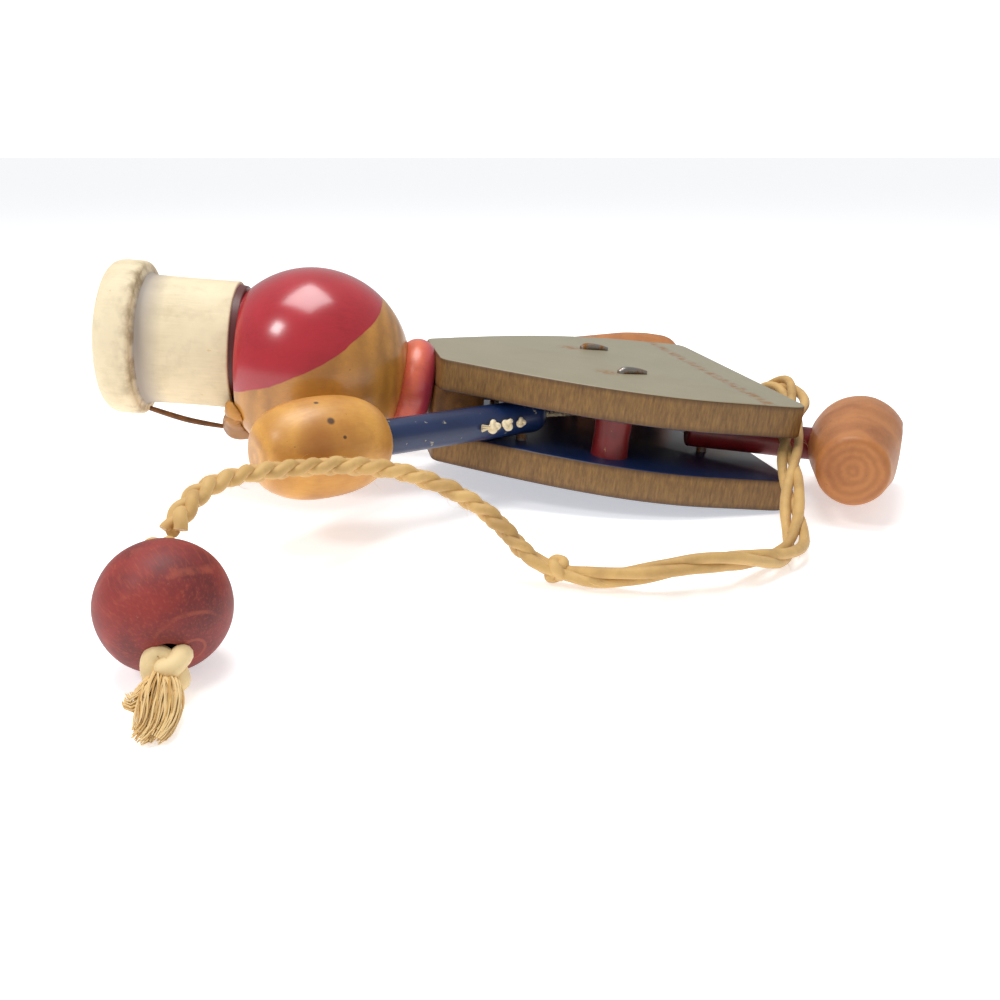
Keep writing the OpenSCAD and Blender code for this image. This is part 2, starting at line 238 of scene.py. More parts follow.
def lathe(profile: Sequence[tuple[float, float]], steps: int = 96) -> bmesh.types.BMesh:
    """Spin a profile about z and close its poles.

    Args:
        profile: Radius and height of each corner, in millimetres.
        steps: Steps of the full turn.

    Returns:
        A closed shape with its normals outwards.
    """
    bm = bmesh.new()
    corners = [bm.verts.new((r, 0.0, z)) for r, z in profile]
    edges = [bm.edges.new(pair) for pair in zip(corners, corners[1:])]
    bmesh.ops.spin(
        bm,
        geom=corners + edges,
        cent=(0, 0, 0),
        axis=(0, 0, 1),
        angle=TURN,
        steps=steps,
        use_merge=True,
    )
    bmesh.ops.remove_doubles(bm, verts=bm.verts, dist=1e-4)
    bmesh.ops.recalc_face_normals(bm, faces=bm.faces)
    return bm


def rounded(profile: Sequence[tuple[float, float]], radii: dict[int, float], steps: int = 5) -> list:
    """Round some corners of a profile.

    Args:
        profile: The corners, in millimetres.
        radii: Number of a corner and how far its rounding starts from it.
        steps: Parts of each rounding.

    Returns:
        The profile with quadratic arcs at those corners.
    """
    out: list[tuple[float, float]] = []
    for i, corner in enumerate(profile):
        if i not in radii:
            out.append(corner)
            continue
        here = Vector(corner)
        back = here + (Vector(profile[i - 1]) - here).normalized() * radii[i]
        ahead = here + (Vector(profile[i + 1]) - here).normalized() * radii[i]
        for k in range(steps + 1):
            t = k / steps
            out.append(tuple(back * (1 - t) ** 2 + here * 2 * t * (1 - t) + ahead * t * t))
    return out


def roughen(bm: bmesh.types.BMesh, amount: float, size: float, seed: float) -> None:
    """Push vertices along their normals by smooth noise, as hand work and wear leave a surface.

    Args:
        bm: The shape, in millimetres.
        amount: Largest push, in millimetres.
        size: Size of the lumps, in millimetres.
        seed: Offset into the noise.
    """
    bm.normal_update()
    for v in bm.verts:
        v.co += v.normal * amount * noise.noise(v.co / size + Vector((seed, seed, seed)))


def smooth_line(points: Sequence[Vector], step: float) -> list[Vector]:
    """Run a Catmull-Rom curve through points and space it evenly.

    Args:
        points: The points, in metres.
        step: Spacing of the result, in metres.

    Returns:
        Points on the curve, both ends included.
    """
    last = len(points) - 1
    dense: list[Vector] = []
    for i in range(last):
        a, b, c, d = (points[max(0, min(last, k))] for k in (i - 1, i, i + 1, i + 2))
        for k in range(12):
            t = k / 12
            dense.append(
                0.5 * (2 * b + (c - a) * t + (2 * a - 5 * b + 4 * c - d) * t**2 + (3 * b - a - 3 * c + d) * t**3)
            )
    dense.append(points[-1].copy())
    total = sum((q - p).length for p, q in zip(dense, dense[1:]))
    count = max(2, round(total / step))
    out, done, i = [dense[0].copy()], 0.0, 0
    for k in range(1, count):
        want = total * k / count
        while done + (dense[i + 1] - dense[i]).length < want:
            done += (dense[i + 1] - dense[i]).length
            i += 1
        t = (want - done) / (dense[i + 1] - dense[i]).length
        out.append(dense[i].lerp(dense[i + 1], t))
    out.append(dense[-1].copy())
    return out


def carried_frames(points: Sequence[Vector], up: Vector) -> list[tuple[Vector, Vector]]:
    """Carry a cross frame along a line without twist.

    Args:
        points: The line.
        up: Roughly the first normal.

    Returns:
        Side and normal at each point.
    """
    out = []
    last = len(points) - 1
    for i in range(last + 1):
        along = (points[min(last, i + 1)] - points[max(0, i - 1)]).normalized()
        side = along.cross(up).normalized()
        up = side.cross(along).normalized()
        out.append((side, up))
    return out


def sweep(
    bm: bmesh.types.BMesh, points: Sequence[Vector], radius: Callable[
        [float], float
    ], sides: int, tone: float
) -> None:
    """Sweep a round strand along a line, with its own UV: metres along, turns around.

    Args:
        bm: Where it goes; points and radii are in the same unit.
        points: The strand's line.
        radius: Radius for a fraction of the way along.
        sides: Corners of its section.
        tone: A number from 0 to 1 that the finish may read as the strand's own tone.
    """
    uv = bm.loops.layers.uv.verify()
    shade = bm.verts.layers.float.get("tone") or bm.verts.layers.float.new("tone")
    start = (points[1] - points[0]).normalized()
    up = Vector((0.1, 0.2, 1)) if abs(start.z) < 0.9 else Vector((1, 0.2, 0.1))
    frames = carried_frames(points, up)
    last = len(points) - 1
    rings, along, done = [], [], 0.0
    for i, (centre, (side, normal)) in enumerate(zip(points, frames)):
        if i:
            done += (centre - points[i - 1]).length
        along.append(done)
        r = radius(i / last)
        ring = []
        for k in range(sides):
            a = TURN * k / sides
            vert = bm.verts.new(centre + r * (side * math.cos(a) + normal * math.sin(a)))
            vert[shade] = tone
            ring.append(vert)
        rings.append(ring)
    for i in range(last):
        for k in range(sides):
            n = (k + 1) % sides
            face = bm.faces.new((rings[i][k], rings[i][n], rings[i + 1][n], rings[i + 1][k]))
            for loop, (u, v) in zip(face.loops, ((i, k), (i, k + 1), (i + 1, k + 1), (i + 1, k))):
                loop[uv].uv = (along[u], v / sides)
    for ring, line in ((rings[0][::-1], 0), (rings[-1], last)):
        face = bm.faces.new(ring)
        for loop in face.loops:
            loop[uv].uv = (along[line], 0.5)


# ---------------------------------------------------------------- finishes


@dataclass(frozen=True)
class Finish:
    """What every finish shares: a name and the frame that its grain follows."""

    name: str
    place: Matrix = field(default_factory=lambda: Matrix.Identity(4))

    def material(self) -> bpy.types.Material:
        """Make the material once and hand it out after that.

        Returns:
            The material.
        """
        known = bpy.data.materials.get(self.name)
        if known:
            return known
        made = bpy.data.materials.new(self.name)
        made.use_nodes = True
        tree = made.node_tree
        tree.nodes.clear()
        shader = add(tree, "BsdfPrincipled")
        out = add(tree, "OutputMaterial", {"Surface": shader.outputs["BSDF"]})
        out.is_active_output = True
        self.dress(tree, shader)
        return made

    def own_space(self, tree: bpy.types.NodeTree) -> bpy.types.NodeSocket:
        """The point in the grain's own frame: x along the grain, in metres.

        Args:
            tree: The material's node tree.

        Returns:
            The socket with the coordinates, in metres.
        """
        where = add(tree, "TexCoord").outputs["Object"]
        return add(
            tree,
            "Mapping",
            {"Vector": where, "Location": self.place.translation, "Rotation": self.place.to_euler()},
            vector_type="TEXTURE",
        ).outputs["Vector"]

    def dress(self, tree: bpy.types.NodeTree, shader: bpy.types.Node) -> None:
        """Wire the colour, gloss and relief."""
        raise NotImplementedError

    def fibre(
        self,
        tree: bpy.types.NodeTree,
        here: bpy.types.NodeSocket,
        width: float,
        length: float,
    ) -> bpy.types.NodeSocket:
        """Noise drawn out along the grain.

        Args:
            tree: The material's tree.
            here: The point in the grain's frame.
            width: Width of a fibre, in millimetres.
            length: Length of a fibre, in millimetres.

        Returns:
            The noise, about 0 to 1.
        """
        drawn = add(
            tree, "Mapping", {
                "Vector": here, "Scale": (1 / (length * MM), 1 / (width * MM), 1 / (width * MM))
            }
        ).outputs["Vector"]
        return add(
            tree, "TexNoise", {"Vector": drawn, "Scale": 1.0, "Detail": 3.0, "Roughness": 0.6}
        ).outputs["Fac"]

    def patches(
        self,
        tree: bpy.types.NodeTree,
        here: bpy.types.NodeSocket,
        size: float,
        low: float,
        high: float,
    ) -> bpy.types.NodeSocket:
        """Irregular patches.

        Args:
            tree: The material's tree.
            here: The point to read.
            size: Rough size of a patch, in millimetres.
            low: Noise below this gives 0.
            high: Noise above this gives 1.

        Returns:
            A mask from 0 to 1.
        """
        cloud = add(
            tree,
            "TexNoise",
            {"Vector": here, "Scale": 1 / (size * MM), "Detail": 5.0, "Roughness": 0.62},
        )
        return add(tree, "MapRange", {0: cloud.outputs["Fac"], 1: low, 2: high}).outputs[0]


@dataclass(frozen=True)
class TurnedWood(Finish):
    """Hardwood under old shellac: fine fibres, growth bands, specks and handling marks."""

    light: Hex = Hex.HONEY_PALE
    body: Hex = Hex.HONEY
    dark: Hex = Hex.HONEY_DARK
    gloss: float = 0.42
    coat: float = 0.25
    ring: float = 2.4
    stain: float = 0.5
    bump: float = 0.05

    def colour(self, tree: bpy.types.NodeTree, here: bpy.types.NodeSocket) -> tuple:
        """The wood's colour and fibre noise.

        Args:
            tree: The material's node tree.
            here: The finish's own coordinates, in metres.

        Returns:
            The colour socket and the fibres' socket.
        """
        fibres = self.fibre(tree, here, 0.35, 6.0)
        bands = add(
            tree,
            "TexWave",
            {
                "Vector": here,
                "Scale": 0.3 / (self.ring * MM),
                "Distortion": 3.5,
                "Detail": 3.0,
                "Detail Scale": 1.4,
            },
            wave_type="RINGS",
            rings_direction="X",
        ).outputs["Fac"]
        base = add(tree, "Mix", {0: fibres, 6: self.light, 7: self.body}, data_type="RGBA").outputs[2]
        band = add(tree, "Math", {0: bands, 1: 0.35}, operation="MULTIPLY").outputs[0]
        banded = add(tree, "Mix", {0: band, 6: base, 7: self.dark}, data_type="RGBA").outputs[2]
        marks = self.patches(tree, here, 9.0, 0.5, 0.72)
        mark = add(tree, "Math", {0: marks, 1: self.stain}, operation="MULTIPLY").outputs[0]
        marked = add(tree, "Mix", {0: mark, 6: banded, 7: self.dark}, data_type="RGBA").outputs[2]
        specks = self.patches(tree, here, 0.9, 0.68, 0.74)
        speck = add(tree, "Math", {0: specks, 1: 0.55}, operation="MULTIPLY").outputs[0]
        done = add(tree, "Mix", {0: speck, 6: marked, 7: Hex.NUT_DARK}, data_type="RGBA").outputs[2]
        return done, fibres

    def dress(self, tree: bpy.types.NodeTree, shader: bpy.types.Node) -> None:
        """Wood colour, a little gloss from the shellac and a fine grain relief.

        Args:
            tree: The material's node tree.
            shader: The shader to dress.
        """
        here = self.own_space(tree)
        colour, fibres = self.colour(tree, here)
        tree.links.new(colour, shader.inputs["Base Color"])
        rough = add(
            tree, "MapRange", {0: fibres, 3: self.gloss - 0.08, 4: self.gloss + 0.14}
        ).outputs[0]
        tree.links.new(rough, shader.inputs["Roughness"])
        shader.inputs["Coat Weight"].default_value = self.coat
        shader.inputs["Coat Roughness"].default_value = 0.3
        relief = add(tree, "Bump", {"Height": fibres, "Strength": 0.35, "Distance": self.bump * MM})
        tree.links.new(relief.outputs["Normal"], shader.inputs["Normal"])


@dataclass(frozen=True)
class BrushedPaint(Finish):
    """Old brushed enamel on turned wood: uneven depth, rubbed through in spots, with grime in patches."""

    colour_main: Hex = Hex.RED
    colour_deep: Hex = Hex.RED_DEEP
    beneath: Hex = Hex.AMBER
    gloss: float = 0.35
    wear: float = 0.66
    dirt_and_shade_brown: float = 0.3
    grime_colour: Hex = Hex.NUT_DARK
    coat: float = 0.2

    def painted(self, tree: bpy.types.NodeTree, here: bpy.types.NodeSocket) -> tuple:
        """The paint's colour, its wear mask and its brush noise.

        Args:
            tree: The material's node tree.
            here: The finish's own coordinates, in metres.

        Returns:
            The colour, the worn patches and the brush marks.
        """
        brush = self.fibre(tree, here, 0.5, 5.0)
        depth = self.patches(tree, here, 11.0, 0.35, 0.7)
        both = add(tree, "Math", {0: brush, 1: depth}, operation="MULTIPLY").outputs[0]
        paint = add(
            tree, "Mix", {0: both, 6: self.colour_main, 7: self.colour_deep}, data_type="RGBA"
        ).outputs[2]
        rubbed = self.patches(tree, here, 1.6, self.wear, self.wear + 0.05)
        worn = add(tree, "Mix", {0: rubbed, 6: paint, 7: self.beneath}, data_type="RGBA").outputs[2]
        dirt = self.patches(tree, here, 4.5, 0.5, 0.75)
        dirty = add(tree, "Math", {0: dirt, 1: self.dirt_and_shade_brown}, operation="MULTIPLY").outputs[0]
        done = add(tree, "Mix", {0: dirty, 6: worn, 7: self.grime_colour}, data_type="RGBA").outputs[2]
        return done, rubbed, brush

    def dress(self, tree: bpy.types.NodeTree, shader: bpy.types.Node) -> None:
        """Paint colour, gloss that drops where it is rubbed, and brush relief.

        Args:
            tree: The material's node tree.
            shader: The shader to dress.
        """
        here = self.own_space(tree)
        colour, rubbed, brush = self.painted(tree, here)
        tree.links.new(colour, shader.inputs["Base Color"])
        rough = add(tree, "MapRange", {0: rubbed, 3: self.gloss, 4: 0.75}).outputs[0]
        tree.links.new(rough, shader.inputs["Roughness"])
        shader.inputs["Coat Weight"].default_value = self.coat
        shader.inputs["Coat Roughness"].default_value = 0.25
        height = add(tree, "Math", {0: brush, 1: rubbed}, operation="SUBTRACT").outputs[0]
        relief = add(tree, "Bump", {"Height": height, "Strength": 0.3, "Distance": 0.06 * MM})
        tree.links.new(relief.outputs["Normal"], shader.inputs["Normal"])


@dataclass(frozen=True)
class DippedHead(BrushedPaint):
    """A shellacked ball dipped in glossy red at a slant, ending in one clean line."""

    pole: Vector = field(default_factory=lambda: Vector((-0.417, -0.186, 0.89)))
    line_at: float = 6.07

    def dress(self, tree: bpy.types.NodeTree, shader: bpy.types.Node) -> None:
        """Red above the dip line, honey wood below it.

        Args:
            tree: The material's node tree.
            shader: The shader to dress.
        """
        here = self.own_space(tree)
        paint, _, brush = self.painted(tree, here)
        wood, _ = TurnedWood(
            "", light=Hex.HONEY, body=Hex.AMBER, dark=Hex.AMBER_DARK
        ).colour(tree, here)
        height = add(
            tree, "VectorMath", {0: here, 1: self.pole.normalized()}, operation="DOT_PRODUCT"
        ).outputs["Value"]
        waver = add(
            tree, "TexNoise", {"Vector": here, "Scale": 1 / (6 * MM), "Detail": 4.0}
        ).outputs["Fac"]
        shifted = add(
            tree, "Math", {0: waver, 1: 0.9 * MM, 2: height}, operation="MULTIPLY_ADD"
        ).outputs[0]
        edge = (self.line_at + 0.45) * MM
        dipped = add(
            tree, "MapRange", {0: shifted, 1: edge - 0.12 * MM, 2: edge + 0.12 * MM}
        ).outputs[0]
        colour = add(tree, "Mix", {0: dipped, 6: wood, 7: paint}, data_type="RGBA").outputs[2]
        tree.links.new(colour, shader.inputs["Base Color"])
        rough = add(tree, "MapRange", {0: dipped, 3: 0.38, 4: self.gloss}).outputs[0]
        tree.links.new(rough, shader.inputs["Roughness"])
        shader.inputs["Coat Weight"].default_value = 0.45
        shader.inputs["Coat Roughness"].default_value = 0.16
        layered = add(tree, "Math", {0: brush, 1: 0.25, 2: dipped}, operation="MULTIPLY_ADD").outputs[0]
        relief = add(tree, "Bump", {"Height": layered, "Strength": 0.3, "Distance": 0.08 * MM})
        tree.links.new(relief.outputs["Normal"], shader.inputs["Normal"])


@dataclass(frozen=True)
class WornHat(BrushedPaint):
    """Thin cream paint: grey in the step as painted shade, brown along the flange's lower rim as dirt and
    painted shade.
    """

    step_at: float = 31.0

    def dress(self, tree: bpy.types.NodeTree, shader: bpy.types.Node) -> None:
        """Cream with turning lines, a grey step of painted shade, and brown dirt and painted shade beside it.

        Args:
            tree: The material's node tree.
            shader: The shader to dress.
        """
        here = self.own_space(tree)
        colour, rubbed, brush = self.painted(tree, here)
        along = add(tree, "SeparateXYZ", {0: here}).outputs["X"]
        # Painted shade: grey over the wall's top, the fillet and the step face, under the flange.
        low = add(
            tree, "MapRange", {0: along, 1: (self.step_at - 4.6) * MM, 2: (self.step_at - 0.6) * MM}
        ).outputs[0]
        high = add(
            tree, "MapRange", {
                0: along, 1: (self.step_at + 0.1) * MM, 2: (self.step_at + 0.5) * MM, 3: 1.0, 4: 0.0
            }
        ).outputs[0]
        band = add(tree, "Math", {0: low, 1: high}, operation="MULTIPLY").outputs[0]
        greyed = add(tree, "Mix", {0: band, 6: colour, 7: Hex.STEP_GREY}, data_type="RGBA").outputs[2]
        # Dirt and painted shade: patchy brown on the flange just above the step.
        rim = add(
            tree, "MapRange", {0: along, 1: (self.step_at + 3.2) * MM, 2: (self.step_at + 0.1) * MM}
        ).outputs[0]
        above = add(tree, "Math", {0: along, 1: self.step_at * MM}, operation="GREATER_THAN").outputs[0]
        cloud = self.patches(tree, here, 3.0, 0.42, 0.62)
        first = add(tree, "Math", {0: rim, 1: above}, operation="MULTIPLY").outputs[0]
        rim_dirt_and_shade = add(tree, "Math", {0: first, 1: cloud}, operation="MULTIPLY").outputs[0]
        strength = add(tree, "Math", {0: rim_dirt_and_shade, 1: 0.7}, operation="MULTIPLY").outputs[0]
        rim_dirt_and_shade_colour = add(tree, "Mix", {0: strength, 6: greyed, 7: Hex.DIRT_AND_SHADE_BROWN}, data_type="RGBA").outputs[2]
        tree.links.new(rim_dirt_and_shade_colour, shader.inputs["Base Color"])
        shader.inputs["Roughness"].default_value = self.gloss
        turning = add(
            tree, "TexWave", {
                "Vector": here, "Scale": 0.3 / (0.5 * MM), "Distortion": 1.2
            }, bands_direction="X"
        ).outputs["Fac"]
        relief = add(tree, "Bump", {"Height": turning, "Strength": 0.12, "Distance": 0.05 * MM})
        tree.links.new(relief.outputs["Normal"], shader.inputs["Normal"])


@dataclass(frozen=True)
class SawnEdge(Finish):
    """The sawn, varnished edge of a board: brown, fine upright fibres, with painted shade along both arrises."""

    middle: float = 7.0
    half: float = 3.0

    def dress(self, tree: bpy.types.NodeTree, shader: bpy.types.Node) -> None:
        """Upright streaks, painted shade along the arrises and a dull varnish.

        Args:
            tree: The material's node tree.
            shader: The shader to dress.
        """
        here = self.own_space(tree)
        upright = add(
            tree,
            "Mapping",
            {"Vector": here, "Scale": (1 / (0.45 * MM), 1 / (0.45 * MM), 1 / (2.5 * MM))},
        )
        streak = add(
            tree, "TexNoise", {
                "Vector": upright.outputs["Vector"], "Scale": 1.0, "Detail": 4.0, "Roughness": 0.7
            }
        ).outputs["Fac"]
        streaks = add(tree, "MapRange", {0: streak, 1: 0.3, 2: 0.75}).outputs[0]
        base = add(
            tree, "Mix", {0: streaks, 6: Hex.EDGE_DARK, 7: Hex.EDGE}, data_type="RGBA"
        ).outputs[2]
        # Painted shade: the edge goes darker towards both arrises.
        level = add(tree, "SeparateXYZ", {0: here}).outputs["Z"]
        off = add(tree, "Math", {0: level, 1: -self.middle * MM}, operation="ADD").outputs[0]
        far = add(tree, "Math", {0: off}, operation="ABSOLUTE").outputs[0]
        arris = add(
            tree, "MapRange", {0: far, 1: (self.half - 1.1) * MM, 2: (self.half - 0.1) * MM, 4: 0.7}
        ).outputs[0]
        darker = add(tree, "Mix", {0: arris, 6: base, 7: Hex.NUT_DARK}, data_type="RGBA").outputs[2]
        chips = self.patches(tree, here, 2.6, 0.72, 0.75)
        done = add(tree, "Mix", {0: chips, 6: darker, 7: Hex.STEP_GREY}, data_type="RGBA").outputs[2]
        tree.links.new(done, shader.inputs["Base Color"])
        shader.inputs["Roughness"].default_value = 0.5
        relief = add(tree, "Bump", {"Height": streak, "Strength": 0.5, "Distance": 0.12 * MM})
        tree.links.new(relief.outputs["Normal"], shader.inputs["Normal"])


@dataclass(frozen=True)
class GreyedFace(Finish):
    """An outer face gone grey-olive: dull, faintly grained, rust at the nails, a rubbed band."""

    nails: tuple = ((38.6, -12.5), (38.3, 13.8))

    def dress(self, tree: bpy.types.NodeTree, shader: bpy.types.Node) -> None:
        """Grey-olive ground, rust halos, brown band along the hem, sheen from handling.

        Args:
            tree: The material's node tree.
            shader: The shader to dress.
        """
        here = self.own_space(tree)
        fibres = self.fibre(tree, here, 0.4, 8.0)
        base = add(
            tree, "Mix", {0: fibres, 6: Hex.OLIVE_DEEP, 7: Hex.OLIVE}, data_type="RGBA"
        ).outputs[2]
        cloud = self.patches(tree, here, 12.0, 0.35, 0.75)
        soft = add(tree, "Math", {0: cloud, 1: 0.4}, operation="MULTIPLY").outputs[0]
        base = add(tree, "Mix", {0: soft, 6: base, 7: Hex.OLIVE_DEEP}, data_type="RGBA").outputs[2]
        for x, y in self.nails:
            spot = add(
                tree, "VectorMath", {0: here, 1: ((x - 3) * MM, y * MM, 10 * MM)}, operation="DISTANCE"
            )
            near = add(
                tree, "MapRange", {0: spot.outputs["Value"], 1: 3.4 * MM, 2: 0.8 * MM}
            ).outputs[0]
            rag = self.patches(tree, here, 1.2, 0.4, 0.6)
            halo = add(tree, "Math", {0: near, 1: rag}, operation="MULTIPLY").outputs[0]
            base = add(tree, "Mix", {0: halo, 6: base, 7: Hex.RUST}, data_type="RGBA").outputs[2]
        x = add(tree, "SeparateXYZ", {0: here}).outputs["X"]
        off = add(tree, "Math", {0: x, 1: -60.5 * MM}, operation="ADD").outputs[0]
        far = add(tree, "Math", {0: off}, operation="ABSOLUTE").outputs[0]
        band = add(tree, "MapRange", {0: far, 1: 1.6 * MM, 2: 0.7 * MM}).outputs[0]
        rag = self.patches(tree, here, 2.0, 0.42, 0.6)
        scrape = add(tree, "Math", {0: band, 1: rag}, operation="MULTIPLY").outputs[0]
        base = add(tree, "Mix", {0: scrape, 6: base, 7: Hex.RUST}, data_type="RGBA").outputs[2]
        specks = self.patches(tree, here, 0.8, 0.7, 0.74)
        base = add(tree, "Mix", {0: specks, 6: base, 7: Hex.NUT_DARK}, data_type="RGBA").outputs[2]
        tree.links.new(base, shader.inputs["Base Color"])
        rough = add(tree, "MapRange", {0: fibres, 3: 0.36, 4: 0.55}).outputs[0]
        tree.links.new(rough, shader.inputs["Roughness"])
        relief = add(tree, "Bump", {"Height": fibres, "Strength": 0.35, "Distance": 0.05 * MM})
        tree.links.new(relief.outputs["Normal"], shader.inputs["Normal"])


@dataclass(frozen=True)
class SpunFibre(Finish):
    """Spun hemp, string or tow: fibres that wind round the strand, with painted shade in the grooves."""

    light: Hex = Hex.HEMP_PALE
    body: Hex = Hex.HEMP
    dark: Hex = Hex.HEMP_DARK
    pitch: float = 5.0
    fine: float = 7.0
    bump: float = 0.25

    def dress(self, tree: bpy.types.NodeTree, shader: bpy.types.Node) -> None:
        """Read the strand's own UV, so the fibres wind along it.

        Args:
            tree: The material's node tree.
            shader: The shader to dress.
        """
        uv = add(tree, "UVMap", uv_map="UVMap").outputs["UV"]
        parts = add(tree, "SeparateXYZ", {0: uv})
        turns = add(
            tree, "Math", {0: parts.outputs["X"], 1: 1 / (self.pitch * MM)}, operation="MULTIPLY"
        ).outputs[0]
        wound = add(tree, "Math", {0: parts.outputs["Y"], 1: turns}, operation="ADD").outputs[0]
        angle = add(tree, "Math", {0: wound, 1: TURN}, operation="MULTIPLY").outputs[0]
        round_x = add(tree, "Math", {0: angle}, operation="COSINE").outputs[0]
        round_y = add(tree, "Math", {0: angle}, operation="SINE").outputs[0]
        slow = add(
            tree, "Math", {0: parts.outputs["X"], 1: 1 / (6 * MM)}, operation="MULTIPLY"
        ).outputs[0]
        where = add(tree, "CombineXYZ", {0: round_x, 1: round_y, 2: slow}).outputs[0]
        own = add(tree, "Attribute", attribute_name="tone").outputs["Fac"]
        fibres = add(
            tree,
            "TexNoise",
            {"Vector": where, "W": own, "Scale": self.fine * 0.5, "Detail": 4.0, "Roughness": 0.7},
            noise_dimensions="4D",
        ).outputs["Fac"]
        spread = add(tree, "MapRange", {0: fibres, 1: 0.3, 2: 0.7}).outputs[0]
        base = add(tree, "Mix", {0: spread, 6: self.body, 7: self.light}, data_type="RGBA").outputs[2]
        # Painted shade: the low parts of the fibre relief go dark.
        groove = add(tree, "MapRange", {0: fibres, 1: 0.42, 2: 0.3}).outputs[0]
        grooved = add(tree, "Mix", {0: groove, 6: base, 7: self.dark}, data_type="RGBA").outputs[2]
        here = self.own_space(tree)
        cloud = self.patches(tree, here, 7.0, 0.45, 0.7)
        soft = add(tree, "Math", {0: cloud, 1: 0.4}, operation="MULTIPLY").outputs[0]
        done = add(tree, "Mix", {0: soft, 6: grooved, 7: self.dark}, data_type="RGBA").outputs[2]
        tree.links.new(done, shader.inputs["Base Color"])
        shader.inputs["Roughness"].default_value = 0.62
        shader.inputs["Sheen Weight"].default_value = 0.12
        shader.inputs["Sheen Roughness"].default_value = 0.5
        relief = add(tree, "Bump", {"Height": fibres, "Strength": 0.8, "Distance": self.bump * MM})
        tree.links.new(relief.outputs["Normal"], shader.inputs["Normal"])


@dataclass(frozen=True)
class DullWire(Finish):
    """Drawn iron wire, dull and partly rusted, so it is brown in patches with a weak shine between."""

    def dress(self, tree: bpy.types.NodeTree, shader: bpy.types.Node) -> None:
        """Grey metal with rust patches that are not metallic.

        Args:
            tree: The material's node tree.
            shader: The shader to dress.
        """
        here = self.own_space(tree)
        rust = self.patches(tree, here, 1.4, 0.45, 0.6)
        colour = add(tree, "Mix", {0: rust, 6: Hex.STEEL, 7: Hex.RUST}, data_type="RGBA").outputs[2]
        tree.links.new(colour, shader.inputs["Base Color"])
        metal = add(tree, "MapRange", {0: rust, 3: 0.9, 4: 0.1}).outputs[0]
        tree.links.new(metal, shader.inputs["Metallic"])
        rough = add(tree, "MapRange", {0: rust, 3: 0.38, 4: 0.85}).outputs[0]
        tree.links.new(rough, shader.inputs["Roughness"])
        relief = add(tree, "Bump", {"Height": rust, "Strength": 0.4, "Distance": 0.06 * MM})
        tree.links.new(relief.outputs["Normal"], shader.inputs["Normal"])


@dataclass(frozen=True)
class Paper(Finish):
    """The plain pale studio floor."""

    def dress(self, tree: bpy.types.NodeTree, shader: bpy.types.Node) -> None:
        """Flat white, fully dull, lifted a little so that it stays white far away.

        Args:
            tree: The material's node tree.
            shader: The shader to dress.
        """
        shader.inputs["Base Color"].default_value = linear(Hex.WHITE)
        shader.inputs["Roughness"].default_value = 0.9
        shader.inputs["Specular IOR Level"].default_value = 0.1
        shader.inputs["Emission Color"].default_value = (0.97, 0.98, 1.0, 1.0)
        shader.inputs["Emission Strength"].default_value = 0.5


def finished(piece: bpy.types.Object, body: str, slot: str, *nodes: str) -> bpy.types.Object:
    """Put a piece on its body in the CAD nodes' place and report it.

    Args:
        piece: The finished piece.
        body: Name of the CAD body that it rides on.
        slot: The record's material slot; not used.
        *nodes: CAD nodes that it stands for.

    Returns:
        The piece.
    """
    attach(piece, body)
    if nodes:
        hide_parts(*nodes)
    LOG.info("made %s: %d faces", piece.name, len(piece.data.polygons))
    return piece


# ---------------------------------------------------------------- studio


@dataclass
class Studio:
    """Camera, floor and soft light."""

    eye: tuple[float, float, float] = (-0.0388, -0.1994, 0.0634)
    down: float = 19.0
    turn: float = -10.97
    lens: float = 36.0

    def camera(self) -> None:
        """Set the camera."""
        data = bpy.data.cameras.new("camera")
        data.lens, data.sensor_width = self.lens, 36.0
        data.clip_start, data.clip_end = 0.005, 200.0
        cam = bpy.data.objects.new("camera", data)
        cam.location = self.eye
        cam.rotation_euler = Euler((math.radians(90 - self.down), 0, math.radians(self.turn)))
        bpy.context.scene.collection.objects.link(cam)
        bpy.context.scene.camera = cam

    def floor(self) -> None:
        """A wide flat sheet of pale paper."""
        bm = bmesh.new()
        bmesh.ops.create_grid(bm, x_segments=2, y_segments=2, size=40.0)
        mesh = bpy.data.meshes.new("floor")
        bm.to_mesh(mesh)
        bm.free()
        mesh.materials.append(Paper("paper_floor").material())
        sheet = bpy.data.objects.new("floor", mesh)
        bpy.context.scene.collection.objects.link(sheet)

    def lamp(self, name: str, at: tuple, size: float, power: float, aim: Vector) -> None:
        """Hang one square soft light.

        Args:
            name: Its name.
            at: Where it hangs, in metres.
            size: Its side, in metres.
            power: Its power, in watts.
            aim: The point it faces.
        """
        data = bpy.data.lights.new(name, "AREA")
        data.size, data.energy = size, power
        lamp = bpy.data.objects.new(name, data)
        lamp.location = at
        lamp.rotation_euler = (Vector(at) - aim).to_track_quat("Z", "Y").to_euler()
        bpy.context.scene.collection.objects.link(lamp)

    def build(self) -> None:
        """Camera, floor, lamps and a bright even room."""
        self.camera()
        self.floor()
        middle = Vector((0.0, -0.03, 0.01))
        self.lamp("overhead", (-0.06, 0.04, 0.62), 0.34, 2.6, middle)
        self.lamp("window", (-0.40, -0.22, 0.46), 0.12, 0.9, middle)
        world = bpy.data.worlds.new("room")
        world.use_nodes = True
        tree = world.node_tree
        room = tree.nodes["Background"]
        room.inputs["Color"].default_value = (0.97, 0.985, 1.0, 1.0)
        seen = add(tree, "LightPath").outputs["Is Camera Ray"]
        strength = add(tree, "MapRange", {0: seen, 3: 0.5, 4: 1.2}).outputs[0]
        tree.links.new(strength, room.inputs["Strength"])
        scene = bpy.context.scene
        scene.world = world
        scene.view_settings.view_transform = "Standard"


# ---------------------------------------------------------------- cord and bead


